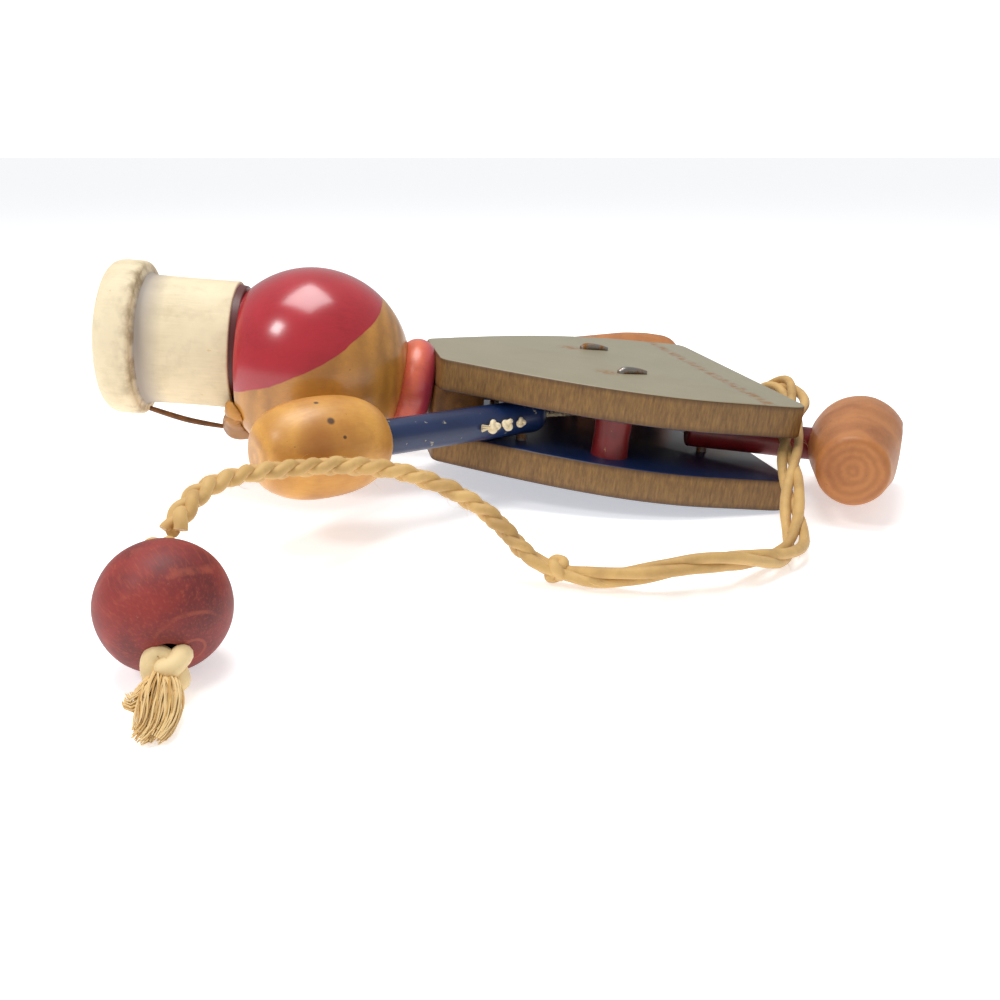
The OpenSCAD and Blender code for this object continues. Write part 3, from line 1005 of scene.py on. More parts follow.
@dataclass
class PullCord:
    """Three hemp yarns: loose from the hem to the knot, plaited from there to the bead."""

    origin: tuple[float, float] = ORIGIN
    route: tuple = (
        (45.6, 0, 12.8), (54, 0.5, 11.9), (61, 1, 11.1), (66, 1.5, 10.7), (70, 1.8, 11.8),
        (73.6, 1, 14.4), (76.2, -1.5, 17.1), (77.2, -6, 18.2), (76.6, -11, 17.3), (75, -16, 16),
        (72.2, -20.5, 14.9), (69.4, -25, 13.4), (66.6, -31, 11.4), (64, -37, 9.2), (61.6, -43, 6.8),
        (59.6, -48.8, 4.2), (57, -54, 2.3), (52.8, -57.8, 2.2), (47.4, -60.6, 3.2), (42, -62.6, 4.4),
        (36.6, -63.6, 4.8), (31.2, -63.4, 4.2), (26, -62, 3.2), (21.4, -59.8, 2.4), (17.6, -57.6, 2.3),
        (14, -56, 3.2), (11.2, -54.6, 5.4), (8.8, -52.4, 8), (6, -49.8, 10.6), (1.6, -46.6, 13),
        (-4, -43.8, 15), (-10, -41.9, 16.2), (-16, -41.6, 16.8), (-22, -42.8, 17.2), (
            -27.6, -45.4, 17.7
        ),
        (-32.4, -49.4, 18.2), (-36.2, -54.4, 17.9), (-38.6, -59, 16.2), (-39.5, -61.4, 14.9),
    )
    exit_number: int = 3
    knot_number: int = 24
    yarn_r: float = 0.92
    plait_half: float = 1.25
    plait_deep: float = 0.55
    plait_pitch: float = 11.5
    loose_half: float = 1.6
    loose_deep: float = 0.75
    loose_pitch: float = 46.0
    step: float = 0.4
    diameter: float = 3.6
    seed: int = 7

    def point(self, spot: Sequence[float]) -> Vector:
        """A route point in the part's frame, in metres."""
        return Vector((spot[0] + self.origin[0], spot[1] + self.origin[1], spot[2])) * MM

    def line(self) -> list[Vector]:
        """The cord's centreline."""
        return smooth_line([self.point(p) for p in self.route], self.step * MM)

    def yarns(self, line: list[Vector], knot_at: int) -> list[list[Vector]]:
        """Lay the three yarns beside the centreline.

        Args:
            line: The centreline.
            knot_at: Number of the point at the knot.

        Returns:
            One line for each yarn.
        """
        noise.seed_set(self.seed)
        frames = carried_frames(line, Vector((0.1, 0.2, 1)))
        lines: list[list[Vector]] = [[], [], []]
        phase = 0.0
        for i, (centre, (side, up)) in enumerate(zip(line, frames)):
            plaited = max(0.0, min(1.0, (i - knot_at) / 20))
            pitch = self.loose_pitch + (self.plait_pitch - self.loose_pitch) * plaited
            phase += TURN * self.step / pitch
            half = (self.loose_half + (self.plait_half - self.loose_half) * plaited) * MM
            deep = (self.loose_deep + (self.plait_deep - self.loose_deep) * plaited) * MM
            close = 1 - 0.45 * math.exp(-(((i - knot_at) / 8) ** 2))
            for k, yarn in enumerate(lines):
                a = phase + TURN * k / 3
                depth = math.sin(2 * a) * plaited + math.cos(a) * (1 - plaited)
                wander = noise.noise_vector(Vector((i * 0.018, k * 7.3, 1.7))) * 0.32 * MM * (
                    1.4 - plaited
                )
                yarn.append(centre + (side * half * math.sin(a) + up * deep * depth) * close + wander)
        return lines

    def build(self) -> None:
        line = self.line()
        knot = self.point(self.route[self.knot_number])
        knot_at = min(range(len(line)), key=lambda i: (line[i] - knot).length)
        hemp = SpunFibre("spun_hemp_yarn")
        bm = bmesh.new()
        lines = self.yarns(line, knot_at)
        for k, yarn in enumerate(lines):
            def thick(t: float, k: int = k) -> float:
                """The yarn's radius, uneven along its length."""
                return self.yarn_r * MM * (1 + 0.16 * noise.noise(Vector((t * 42, k * 5.1, 0.3))))

            sweep(bm, yarn, thick, 12, 0.2 + 0.3 * k)
        for v in bm.verts:
            v.co.z = max(v.co.z, 0.05 * MM)
        cord = finish_mesh("cord_yarns", bm, [hemp], Matrix.Scale(1 / MM, 4))
        for piece in (cord, self.fuzz(lines)):
            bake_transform(piece)
        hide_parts("pull_cord")
        mid = Knot("mid_knot_turns", 5.0, 0.95, hemp).build(
            Matrix.Translation(self.point((16, -56.8, 2.75))) @ spin_to(
                Vector((-1, 0.3, 0.25)).normalized()
            )
        )
        finished(mid, "torso", "hemp", "mid_knot")

    def fuzz(self, lines: list[list[Vector]]) -> bpy.types.Object:
        """Stray fibres that stand off the yarns.

        Args:
            lines: The yarns' lines.

        Returns:
            One mesh of short hairs.
        """
        rng = random.Random(7)
        bm = bmesh.new()
        for _ in range(230):
            yarn = rng.choice(lines)
            i = rng.randrange(10, len(yarn) - 12)
            along = (yarn[i + 4] - yarn[i]).normalized()
            out = Vector((rng.gauss(0, 1), rng.gauss(0, 1), rng.gauss(0, 1))).cross(along).normalized()
            reach = rng.uniform(0.6, 2.4) * MM
            lean = along * rng.choice((-1, 1)) * rng.uniform(0.5, 1.4)
            hair = []
            for k in range(6):
                t = k / 5
                spot = yarn[i] + out * (
                    self.yarn_r * 0.7 * MM + reach * t * (1 - 0.35 * t)
                ) + lean * reach * t * t
                spot.z = max(spot.z, 0.06 * MM)
                hair.append(spot)
            sweep(bm, hair, lambda t: 0.035 * MM * (1 - 0.6 * t), 3, rng.random())
        return finish_mesh(
            "cord_fuzz",
            bm,
            [SpunFibre("loose_hemp_fibre", light=Hex.TOW_PALE, body=Hex.TOW)],
            Matrix.Scale(1 / MM, 4),
        )


@dataclass
class Knot:
    """A tight overhand knot, tied in one strand."""

    name: str
    across: float
    strand_r: float
    finish: Finish
    tall: float = 0.8

    def build(self, place: Matrix, tail: Sequence[Vector] = ()) -> bpy.types.Object:
        """Tie the knot.

        Args:
            place: The knot's frame, z along the cord.
            tail: Points, in millimetres in that frame, that the free end follows.

        Returns:
            The piece.
        """
        bm = bmesh.new()
        size = (self.across / 2 - self.strand_r) / 3
        turns = [
            Vector(
                (
                    size * (math.sin(t) + 2 * math.sin(2 * t)),
                    size * (math.cos(t) - 2 * math.cos(2 * t)),
                    -self.tall * self.strand_r * math.sin(3 * t),
                )
            )
            for t in (TURN * 0.985 * k / 90 for k in range(91))
        ]
        sweep(bm, turns, lambda t: self.strand_r * (1 + 0.07 * math.sin(37 * t)), 12, 0.5)
        if tail:
            sweep(bm, smooth_line(list(tail), 0.4), lambda t: self.strand_r * 0.9, 10, 0.3)
        return finish_mesh(self.name, bm, [self.finish], place)


@dataclass
class PullEnd:
    """The stained bead on the end of the cord, its two knots and the frayed tow below."""

    bead_d: float = 17.4
    bore_d: float = 3.6
    lean: float = 67.0

    def bead(self, place: Matrix) -> None:
        """Turn the bead with its bore.

        Args:
            place: The bead's frame, z along its bore.
        """
        radius, bore = self.bead_d / 2, self.bore_d / 2
        start = math.asin((bore + 0.35) / radius)
        arc = [
            (radius * math.sin(a), radius * math.cos(a))
            for a in (start + (math.pi - 2 * start) * k / 56 for k in range(57))
        ]
        top = arc[0][1]
        profile = [(bore, 0.0), (bore, top - 0.3)] + arc + [(bore, 0.3 - top), (bore, 0.0)]
        bm = lathe(profile, 112)
        roughen(bm, 0.07, 5.0, 3.0)
        stain = StainedBead("red_stained_beech", place @ turned("Y", 70))
        finished(finish_mesh("bead_turned", bm, [stain], place), "pull", "red_stain", "pull_bead")

    def tow(self) -> None:
        """Comb out the frayed end in three locks that rest on the table."""
        rng = random.Random(21)
        ox, oy = ORIGIN
        locks = (
            (
                (
                    (-39.9, -82.6, 3.6),
                    (-40.6, -84.4, 3.5),
                    (-41.7, -86.3, 3.0),
                    (-42.6, -86.6, 2.8),
                    (-43.2, -85.6, 3.0),
                ),
                0.9,
                52,
            ),
            (
                (
                    (-39.8, -82.4, 3.7),
                    (-39.9, -85.2, 3.4),
                    (-40.3, -88.2, 2.5),
                    (-40.6, -90.4, 1.6),
                    (-41.6, -91.6, 0.9),
                ),
                1.35,
                110,
            ),
            (
                (
                    (-39.4, -82.4, 3.7),
                    (-38.6, -85.0, 3.3),
                    (-38.3, -87.6, 2.5),
                    (-38.6, -90.0, 1.6),
                    (-39.6, -91.8, 0.9),
                ),
                1.2,
                96,
            ),
        )
        bm = bmesh.new()
        for points, spread, count in locks:
            middle = smooth_line([Vector((x + ox, y + oy, z)) * MM for x, y, z in points], 0.7 * MM)
            frames = carried_frames(middle, Vector((0, 0.3, 1)))
            for _ in range(count):
                a, far = rng.uniform(0, TURN), math.sqrt(rng.random())
                twist, wave, off = rng.uniform(-0.5, 1.1), rng.uniform(0.02, 0.12), rng.uniform(0, TURN)
                last = rng.uniform(0.86, 1.0)
                fibre = []
                for k in range(15):
                    t = k / 14 * last
                    i = min(len(middle) - 1, round(t * (len(middle) - 1)))
                    side, up = frames[i]
                    grow = spread * (0.62 + 0.75 * math.sin(math.pi * min(1, 0.15 + t * 0.75)))
                    turn = a + twist * t
                    shift = side * math.cos(turn) + up * math.sin(turn)
                    ripple = (side + up) * math.sin(off + 9 * t) * wave
                    spot = middle[i] + (shift * far * grow + ripple) * MM
                    spot.z = max(spot.z, 0.16 * MM)
                    fibre.append(spot)
                sweep(bm, fibre, lambda t: 0.15 * MM * (1 - 0.45 * t), 5, rng.random())
        finish = SpunFibre(
            "combed_tow", light=Hex.TOW_PALE, body=Hex.TOW, dark=Hex.HEMP, pitch=60.0, bump=0.06
        )
        finished(
            finish_mesh("frayed_tow", bm, [finish], Matrix.Scale(1 / MM, 4)),
            "pull",
            "frayed_hemp",
            "tassel",
        )

    def build(self) -> None:
        """Bead, knots and tow."""
        low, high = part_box("pull_bead")
        place = Matrix.Translation((low + high) / 2) @ turned("Z", 7) @ turned("X", -self.lean)
        self.bead(place)
        hemp = SpunFibre("spun_hemp_yarn")
        out = self.bead_d / 2 - 0.28 + 1.7
        upper = Knot("bead_knot_turns", 5.0, 0.95, hemp).build(
            place @ moved(0, 0, out) @ turned("Z", 40)
        )
        finished(upper, "pull", "hemp", "bead_knot")
        pale = SpunFibre("pale_hemp_yarn", light=Hex.TOW_PALE, body=Hex.HEMP_PALE, dark=Hex.HEMP_DARK)
        lower = Knot("end_knot_turns", 6.8, 1.32, pale, 1.0).build(
            place @ moved(0, 0.6, -out + 0.2) @ turned("Z", -75)
        )
        finished(lower, "pull", "frayed_hemp", "end_knot")
        self.tow()


@dataclass(frozen=True)
class StainedBead(TurnedWood):
    """Beech soaked in red stain: dull, cloudy, with pale growth arcs where the stain is thin."""

    light: Hex = Hex.STAIN_PALE
    body: Hex = Hex.STAIN
    dark: Hex = Hex.STAIN_DEEP
    gloss: float = 0.58
    coat: float = 0.05
    ring: float = 3.2
    stain: float = 0.75

    def colour(self, tree: bpy.types.NodeTree, here: bpy.types.NodeSocket) -> tuple:
        """Cloudy red with a few fine pale arcs.

        Args:
            tree: The material's node tree.
            here: The finish's own coordinates, in metres.

        Returns:
            The colour socket and the fibres' socket.
        """
        fibres = self.fibre(tree, here, 0.3, 3.5)
        cloud = self.patches(tree, here, 8.0, 0.38, 0.66)
        base = add(tree, "Mix", {0: cloud, 6: self.body, 7: self.dark}, data_type="RGBA").outputs[2]
        thin = add(tree, "MapRange", {0: fibres, 1: 0.5, 2: 0.85, 4: 0.6}).outputs[0]
        base = add(tree, "Mix", {0: thin, 6: base, 7: self.light}, data_type="RGBA").outputs[2]
        arcs = add(
            tree,
            "TexWave",
            {
                "Vector": here,
                "Scale": 0.3 / (self.ring * MM),
                "Distortion": 1.6,
                "Detail": 2.0,
                "Detail Scale": 0.8,
            },
            wave_type="RINGS",
            rings_direction="X",
        ).outputs["Fac"]
        crest = add(tree, "MapRange", {0: arcs, 1: 0.94, 2: 1.0, 4: 0.45}).outputs[0]
        gaps = self.patches(tree, here, 6.0, 0.48, 0.6)
        line = add(tree, "Math", {0: crest, 1: gaps}, operation="MULTIPLY").outputs[0]
        base = add(tree, "Mix", {0: line, 6: base, 7: Hex.STAIN_PALE}, data_type="RGBA").outputs[2]
        scuffs = self.patches(tree, here, 0.9, 0.7, 0.73)
        scuff = add(tree, "Math", {0: scuffs, 1: 0.5}, operation="MULTIPLY").outputs[0]
        base = add(tree, "Mix", {0: scuff, 6: base, 7: Hex.STEP_GREY}, data_type="RGBA").outputs[2]
        return base, fibres


# ---------------------------------------------------------------- body


@dataclass
class Body:
    """Two bell-shaped boards held apart by a neck block and two pegs, with nails and pins."""

    length: float = 65.0
    start: float = 3.5
    neck_half: float = 11.0
    hem_half: float = 33.0
    thick: float = 6.0
    inner: float = 4.0
    corner: float = 4.0
    block_size: tuple = (10.0, 14.0, 8.0)
    peg_d: float = 7.0
    pegs: tuple = ((35.5, -21.5), (35.5, 21.5))
    nails: tuple = ((38.6, -12.5, 12.0), (38.3, 13.8, 5.0))
    wire_r: float = 0.8
    pins: tuple = ((*SHOULDER, "shoulder"), (*HIP, "hip"))

    def outline(self) -> list[tuple[float, float]]:
        """The bell's outline, hem at the far end, corners rounded.

        Returns:
            The points in order, in millimetres.
        """
        half = [
            (
                self.start + self.length * t,
                self.neck_half + (self.hem_half - self.neck_half) * math.sin(
                    math.radians(min(90, 120 * t))
                ),
            )
            for t in [k / 32 for k in range(30)] + [1.0]
        ]
        ring = [(x, -y) for x, y in half] + half[::-1]
        ring = ring[1:] + ring[:1]
        count, hem = len(ring), len(half) - 2
        radii = {hem: self.corner, hem + 1: self.corner, count - 2: 1.6, count - 1: 1.6}
        return rounded(ring + ring[:1], radii, 7)[:-1]

    def board(self, name: str, low: float, faces: tuple[Finish, Finish, Finish], node: str) -> None:
        """Saw one board, break its arrises and dress its faces.

        Args:
            name: Name of the piece.
            low: Level of its lower face.
            faces: Finishes of the lower face, the sawn edge and the upper face.
            node: The CAD node.
        """
        bm = bmesh.new()
        verts = [bm.verts.new((x, y, low)) for x, y in self.outline()]
        base = bm.faces.new(verts)
        raised = bmesh.ops.extrude_face_region(bm, geom=[base])
        top = [g for g in raised["geom"] if isinstance(g, bmesh.types.BMVert)]
        bmesh.ops.translate(bm, verts=top, vec=(0, 0, self.thick))
        bmesh.ops.recalc_face_normals(bm, faces=bm.faces)
        for face in bm.faces:
            face.material_index = 1 + round(face.normal.z) if abs(face.normal.z) > 0.5 else 1
        rims = [e for e in bm.edges if len({f.material_index for f in e.link_faces}) == 2]
        bmesh.ops.bevel(
            bm,
            geom=rims,
            offset=0.45,
            segments=4,
            profile=0.5,
            affect="EDGES",
            material=-1,
            clamp_overlap=True,
        )
        finished(finish_mesh(name, bm, faces, FIGURE), "torso", "plywood", node)

    def block(self) -> None:
        """The brown block between the boards at the neck."""
        bm = bmesh.new()
        bmesh.ops.create_cube(bm, size=1.0)
        bmesh.ops.scale(bm, vec=self.block_size, verts=bm.verts)
        bmesh.ops.bevel(
            bm, geom=bm.edges[:], offset=0.5, segments=3, profile=0.5, affect="EDGES", material=-1
        )
        bmesh.ops.subdivide_edges(bm, edges=bm.edges[:], cuts=3, use_grid_fill=True)
        roughen(bm, 0.12, 4.0, 1.0)
        place = FIGURE @ moved(self.start + self.block_size[0] / 2, 0, 0)
        nut = TurnedWood(
            "nut_brown_block", place @ turned("Z", 90), Hex.AMBER, Hex.NUT, Hex.NUT_DARK, 0.5, 0.1
        )
        finished(finish_mesh("neck_block_planed", bm, [nut], place), "torso", "bare_wood", "neck_block")

    def peg(self, number: int, node: str) -> None:
        """One red spacer peg, slightly waisted.

        Args:
            number: 0 for the left one, 1 for the right one.
            node: The CAD node that it stands for.
        """
        half = self.inner
        bm = lathe(
            [
                (0, -half),
                (self.peg_d / 2, -half),
                (self.peg_d / 2 - 0.15, 0),
                (self.peg_d / 2, half),
                (0, half),
            ],
            48,
        )
        x, y = self.pegs[number]
        place = FIGURE @ moved(x, y, 0)
        paint = BrushedPaint(
            "red_peg_enamel",
            place @ turned("Y", -90),
            Hex.RED_PEG,
            Hex.RED_PEG_DEEP,
            Hex.BARE_PALE,
            0.4,
        )
        finished(finish_mesh(node + "_turned", bm, [paint], place), "torso", "red_paint", node)

    def nail(self, number: int, node: str) -> None:
        """One wire nail, clinched over the back board, with its head sunk in the front.

        Args:
            number: 0 for the left one, 1 for the right one.
            node: The CAD node that it stands for.
        """
        x, y, turn = self.nails[number]
        outer = self.inner + self.thick
        rise = [Vector((0, 0, z)) for z in (-outer + 0.4, 0, outer - 0.6)]
        bent = [
            Vector((d, 0, outer + h))
            for d, h in ((0.15, 0.25), (0.9, 0.55), (2.6, 0.6), (4.4, 0.45), (5.6, 0.2))
        ]
        bm = bmesh.new()
        r = self.wire_r
        sweep(
            bm,
            smooth_line(rise + bent, 0.35),
            lambda t: r * (1 if t < 0.8 else 1 - 2.1 * (t - 0.8)),
            14,
            0.5,
        )
        bmesh.ops.rotate(
            bm, cent=(0, 0, 0), matrix=Matrix.Rotation(math.radians(turn), 3, "Z"), verts=bm.verts
        )
        head = lathe(
            rounded(
                [(0, -outer - 0.12), (2.1, -outer - 0.05), (2.1, -outer + 0.9), (0, -outer + 0.9)],
                {1: 0.2},
            ),
            32,
        )
        spare = bpy.data.meshes.new("head")
        head.to_mesh(spare)
        head.free()
        bm.from_mesh(spare)
        bpy.data.meshes.remove(spare)
        wire = DullWire("rusted_iron_wire")
        finished(
            finish_mesh(node + "_driven", bm, [wire], FIGURE @ moved(x, y, 0)), "torso", "wire", node
        )

    def pin(self, side: Side, x: float, y: float, joint: str) -> None:
        """One wire pin with a peened end on the front board.

        Args:
            side: The figure's side.
            x: Place along the board, in millimetres.
            y: Place off the middle, in millimetres.
            joint: The joint's name without its side.
        """
        outer = self.inner + self.thick
        low, high = -outer - 0.15, self.inner + 2.0
        bm = lathe(rounded([(0, low), (1.0, low), (1.0, high), (0, high)], {1: 0.4, 2: 0.3}), 32)
        node = f"{side.name.lower()}_{joint}_pin"
        place = FIGURE @ moved(x, side.value * y, 0)
        finished(
            finish_mesh(node + "_peened", bm, [DullWire("rusted_iron_wire")], place),
            "torso",
            "wire",
            node,
        )

    def build(self) -> None:
        """Boards, block, pegs, nails and pins."""
        grey = GreyedFace("aged_greyed_face", FIGURE)
        navy = BrushedPaint(
            "navy_brushed_enamel",
            FIGURE,
            Hex.NAVY,
            Hex.NAVY_DEEP,
            Hex.AMBER_DARK,
            0.4,
            0.7,
            0.25,
            Hex.NAVY_DEEP,
        )
        back_edge = SawnEdge(
            "varnished_sawn_edge_back", FIGURE, self.inner + self.thick / 2, self.thick / 2
        )
        front_edge = SawnEdge(
            "varnished_sawn_edge_front", FIGURE, -self.inner - self.thick / 2, self.thick / 2
        )
        self.board("back_board_sawn", self.inner, (navy, back_edge, grey), "back_board")
        self.board(
            "front_board_sawn", -self.inner - self.thick, (navy, front_edge, navy), "front_board"
        )
        self.block()
        for number, side in enumerate(("left", "right")):
            self.peg(number, f"{side}_spacer_peg")
            self.nail(number, f"{side}_clinched_nail")
        for x, y, joint in self.pins:
            for side in Side:
                self.pin(side, x, y, joint)


# ---------------------------------------------------------------- head


@dataclass
class Head:
    """The dipped ball on its ring, with the tall hat, its peak, the strap and the peg nose."""

    ball_r: float = 18.5
    reach: float = 19.4
    base: float = 14.4
    collar: float = 1.4
    wall_r: float = 12.2
    wall_len: float = 17.2
    flange_r: float = 14.6
    flange_len: float = 6.8
    ring_d: float = 18.4
    ring_w: float = 7.0

    def neck(self, along: float) -> Matrix:
        """The neck's frame, z towards the head."""
        return FIGURE @ moved(0, 0, 2.3) @ turned("Z", -3) @ turned("Y", 7.2) @ turned(
            "Y", -90
        ) @ moved(0, 0, along)

    def crown(self) -> Matrix:
        """The hat's frame, set back on the head, z towards the crown."""
        at = self.neck(self.reach).translation + Vector((0, 1.2, 2.4)) * MM
        return Matrix.Translation(at) @ turned("Z", -7.6) @ turned("Y", 5.1) @ turned("Y", -90)

    def ball(self) -> None:
        """Turn the head ball, flat under the hat."""
        arc = [
            (self.ball_r * math.sin(a), self.ball_r * math.cos(a))
            for a in (math.pi * k / 96 for k in range(1, 96))
        ]
        bm = lathe([(0.0, self.ball_r)] + arc + [(0.0, -self.ball_r)], 144)
        place = Matrix.Translation(self.neck(self.reach).translation)
        turn = place.inverted() @ self.crown()
        cut = bmesh.ops.bisect_plane(
            bm,
            geom=bm.verts[:] + bm.edges[:] + bm.faces[:],
            plane_co=self.flat(turn),
            plane_no=turn.to_3x3() @ Vector((0, 0, 1)),
            clear_outer=True,
        )
        bmesh.ops.holes_fill(
            bm, edges=[e for e in cut["geom_cut"] if isinstance(e, bmesh.types.BMEdge)]
        )
        roughen(bm, 0.06, 7.0, 5.0)
        paint = DippedHead(
            "dipped_red_enamel_over_shellac",
            place,
            Hex.RED,
            Hex.RED_DEEP,
            Hex.RED_DEEP,
            0.24,
            0.8,
            0.12,
            Hex.RED_DEEP,
        )
        finished(finish_mesh("head_turned", bm, [paint], place), "torso", "red_gloss_head", "head_ball")

    def flat(self, turn: Matrix) -> Vector:
        """The middle of the head's flat, in millimetres in the head's own frame."""
        return turn.translation / MM + turn.to_3x3() @ Vector((0, 0, self.base - self.collar))

    def hat(self) -> None:
        """Turn the hat: base, straight wall, filleted step and a rounded flange with a dished crown."""
        b, w, f = self.base, self.wall_r, self.flange_r
        step, top = b + self.wall_len, b + self.wall_len + self.flange_len
        corners = [
            (0, b),
            (w, b),
            (w - 0.1, b + 9),
            (w, step),
            (f, step),
            (f, top),
            (6.0, top),
            (5.2, top - 0.5),
            (0, top - 0.7),
        ]
        bm = lathe(rounded(corners, {1: 0.4, 3: 1.6, 4: 1.1, 5: 3.0, 6: 1.0}), 128)
        bmesh.ops.subdivide_edges(
            bm, edges=[e for e in bm.edges if e.calc_length() > 2.5], cuts=2, use_grid_fill=True
        )
        roughen(bm, 0.05, 9.0, 9.0)
        grain = self.crown() @ turned("Y", -90)
        cream = WornHat(
            "cream_worn_paint",
            grain,
            Hex.CREAM,
            Hex.CREAM_SHADE,
            Hex.BARE_PALE,
            0.62,
            0.69,
            0.22,
            Hex.DIRT_AND_SHADE_BROWN,
        )
        finished(finish_mesh("hat_turned", bm, [cream], self.crown()), "torso", "white_paint", "hat")
        # A dark maroon collar fills the gap between hat and ball: painted shade where the hat meets the ball.
        low = b - self.collar - 0.05
        collar = lathe(rounded([(0, low), (11.4, low), (11.6, b + 0.05), (0, b + 0.05)], {1: 0.3}), 96)
        maroon = BrushedPaint(
            "maroon_gap_shade_enamel", grain, Hex.RED_PEG_DEEP, Hex.NUT_DARK, Hex.NUT_DARK, 0.5
        )
        fit = finish_mesh("hat_gap_shade_collar", collar, [maroon], self.crown())
        finished(fit, "torso", "white_paint")

    def peak(self) -> None:
        """Carve the peak from the CAD solid's outline, with the split that runs across it."""
        source = frame["nodes"]["cap_peak"].data
        mesh = source.copy()
        bm = bmesh.new()
        bm.from_mesh(mesh)
        bpy.data.meshes.remove(mesh)
        bmesh.ops.remove_doubles(bm, verts=bm.verts, dist=0.01 * MM)
        bmesh.ops.transform(bm, matrix=Matrix.Scale(1 / MM, 4), verts=bm.verts)
        raw = bpy.data.meshes.new("peak_raw")
        bm.to_mesh(raw)
        bm.free()
        holder = bpy.data.objects.new("peak_raw", raw)
        bpy.context.scene.collection.objects.link(holder)
        even = holder.modifiers.new("even", "REMESH")
        even.mode, even.voxel_size = "VOXEL", 0.28
        bpy.context.view_layer.update()
        shaped = bpy.data.meshes.new_from_object(
            holder.evaluated_get(bpy.context.evaluated_depsgraph_get())
        )
        bpy.data.objects.remove(holder)
        bm = bmesh.new()
        bm.from_mesh(shaped)
        bpy.data.meshes.remove(shaped)
        for _ in range(6):
            bmesh.ops.smooth_vert(
                bm, verts=bm.verts, factor=0.5, use_axis_x=True, use_axis_y=True, use_axis_z=True
            )
        low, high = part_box("cap_peak")
        split = low.z / MM + 0.5 * (high.z - low.z) / MM
        bm.normal_update()
        for v in bm.verts:
            bend = split + 0.9 * math.sin(v.co.x * 0.45 + 1.2)
            v.co -= v.normal * 0.85 * math.exp(-(((v.co.z - bend) / 0.55) ** 2))
        roughen(bm, 0.12, 2.5, 2.0)
        grain = Matrix.Translation((low + high) / 2)
        wood = SplitPeak("oiled_peak_wood", grain, Hex.HONEY, Hex.AMBER, Hex.AMBER_DARK, 0.5, 0.1)
        finished(
            finish_mesh("peak_carved", bm, [wood], Matrix.Identity(4), 70.0),
            "torso",
            "peak_wood",
            "cap_peak",
        )

    def strap(self) -> None:
        """The thin strap from the flange to the peak, sagging a little."""
        w = self.wall_r
        top = Vector((-w - 1.6, 0, self.base + self.wall_len + 0.3))
        foot = Vector((-w - 4.4, 0, self.base + 2.4))
        middle = top.lerp(foot, 0.5) + Vector((-0.5, 0, 0))
        bm = bmesh.new()
        sweep(
            bm,
            smooth_line([top, middle, foot], 0.4),
            lambda t: 0.36 + 0.22 * math.sin(math.pi * (0.2 + 0.7 * t)),
            10,
            0.5,
        )
        hide = TurnedWood(
            "dark_oiled_leather", self.crown(), Hex.AMBER_DARK, Hex.NUT, Hex.NUT_DARK, 0.6, 0.0
        )
        finished(finish_mesh("strap_cut", bm, [hide], self.crown()), "torso", "leather", "chin_strap")

    def ring(self) -> None:
        """The fat neck ring, flat where it bears on the boards."""
        mid, r = self.ring_d / 2 - self.ring_w / 2, self.ring_w / 2
        arc = [
            (mid + r * math.cos(a), r * math.sin(a))
            for a in (math.radians(-100 + 200 * k / 40) for k in range(41))
        ]
        bm = lathe([(2.0, -r)] + arc + [(2.0, r), (2.0, -r)], 96)
        place = self.neck(0)
        back = place.inverted() @ FIGURE
        at = (back @ Vector((3.4 * MM, 0, 0))) / MM
        cut = bmesh.ops.bisect_plane(
            bm,
            geom=bm.verts[:] + bm.edges[:] + bm.faces[:],
            plane_co=at,
            plane_no=back.to_3x3() @ Vector((1, 0, 0)),
            clear_outer=True,
        )
        bmesh.ops.holes_fill(
            bm, edges=[e for e in cut["geom_cut"] if isinstance(e, bmesh.types.BMEdge)]
        )
        for v in bm.verts:
            away = v.co - Vector((0, 0, self.reach))
            if away.length < self.ball_r + 0.02:
                v.co += away.normalized() * (self.ball_r + 0.02 - away.length)
        roughen(bm, 0.05, 4.0, 4.0)
        paint = RingPaint(
            "orange_ring_enamel",
            place @ turned("Y", -90),
            Hex.ORANGE,
            Hex.ORANGE_DEEP,
            Hex.HONEY_PALE,
            0.34,
            0.7,
            0.35,
            Hex.NUT,
        )
        finished(finish_mesh("ring_turned", bm, [paint], place), "torso", "orange_paint", "neck_ring")

    def nose(self) -> None:
        """The peg nose under the head, with a rounded tip and a shoulder."""
        low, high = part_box("nose_peg")
        tall = (high.z - low.z) / MM
        r = (high.x - low.x) / MM / 2
        bm = lathe(
            rounded(
                [(0, 0), (r, 0), (r, tall - 6.2), (r - 1.0, tall - 5.6), (r - 1.0, tall), (0, tall)],
                {1: 2.4},
            ),
            64,
        )
        place = Matrix.Translation(((low.x + high.x) / 2, (low.y + high.y) / 2, low.z))
        wood = TurnedWood(
            "pale_nose_beech", place @ turned("Y", -90), Hex.HONEY_PALE, Hex.BARE_PALE, Hex.AMBER
        )
        finished(finish_mesh("nose_turned", bm, [wood], place), "torso", "bare_wood", "nose_peg")

    def build(self) -> None:
        """Every piece of the head."""
        self.ball()
        self.hat()
        self.peak()
        self.strap()
        self.ring()
        self.nose()
        dowel = TurnedWood(
            "birch_dowel", self.neck(0) @ turned("Y", -90), Hex.BARE_PALE, Hex.BARE_PALE, Hex.AMBER
        )
        for node in ("neck_dowel", "hat_dowel"):
            frame["nodes"][node].data.materials.clear()
            frame["nodes"][node].data.materials.append(dowel.material())


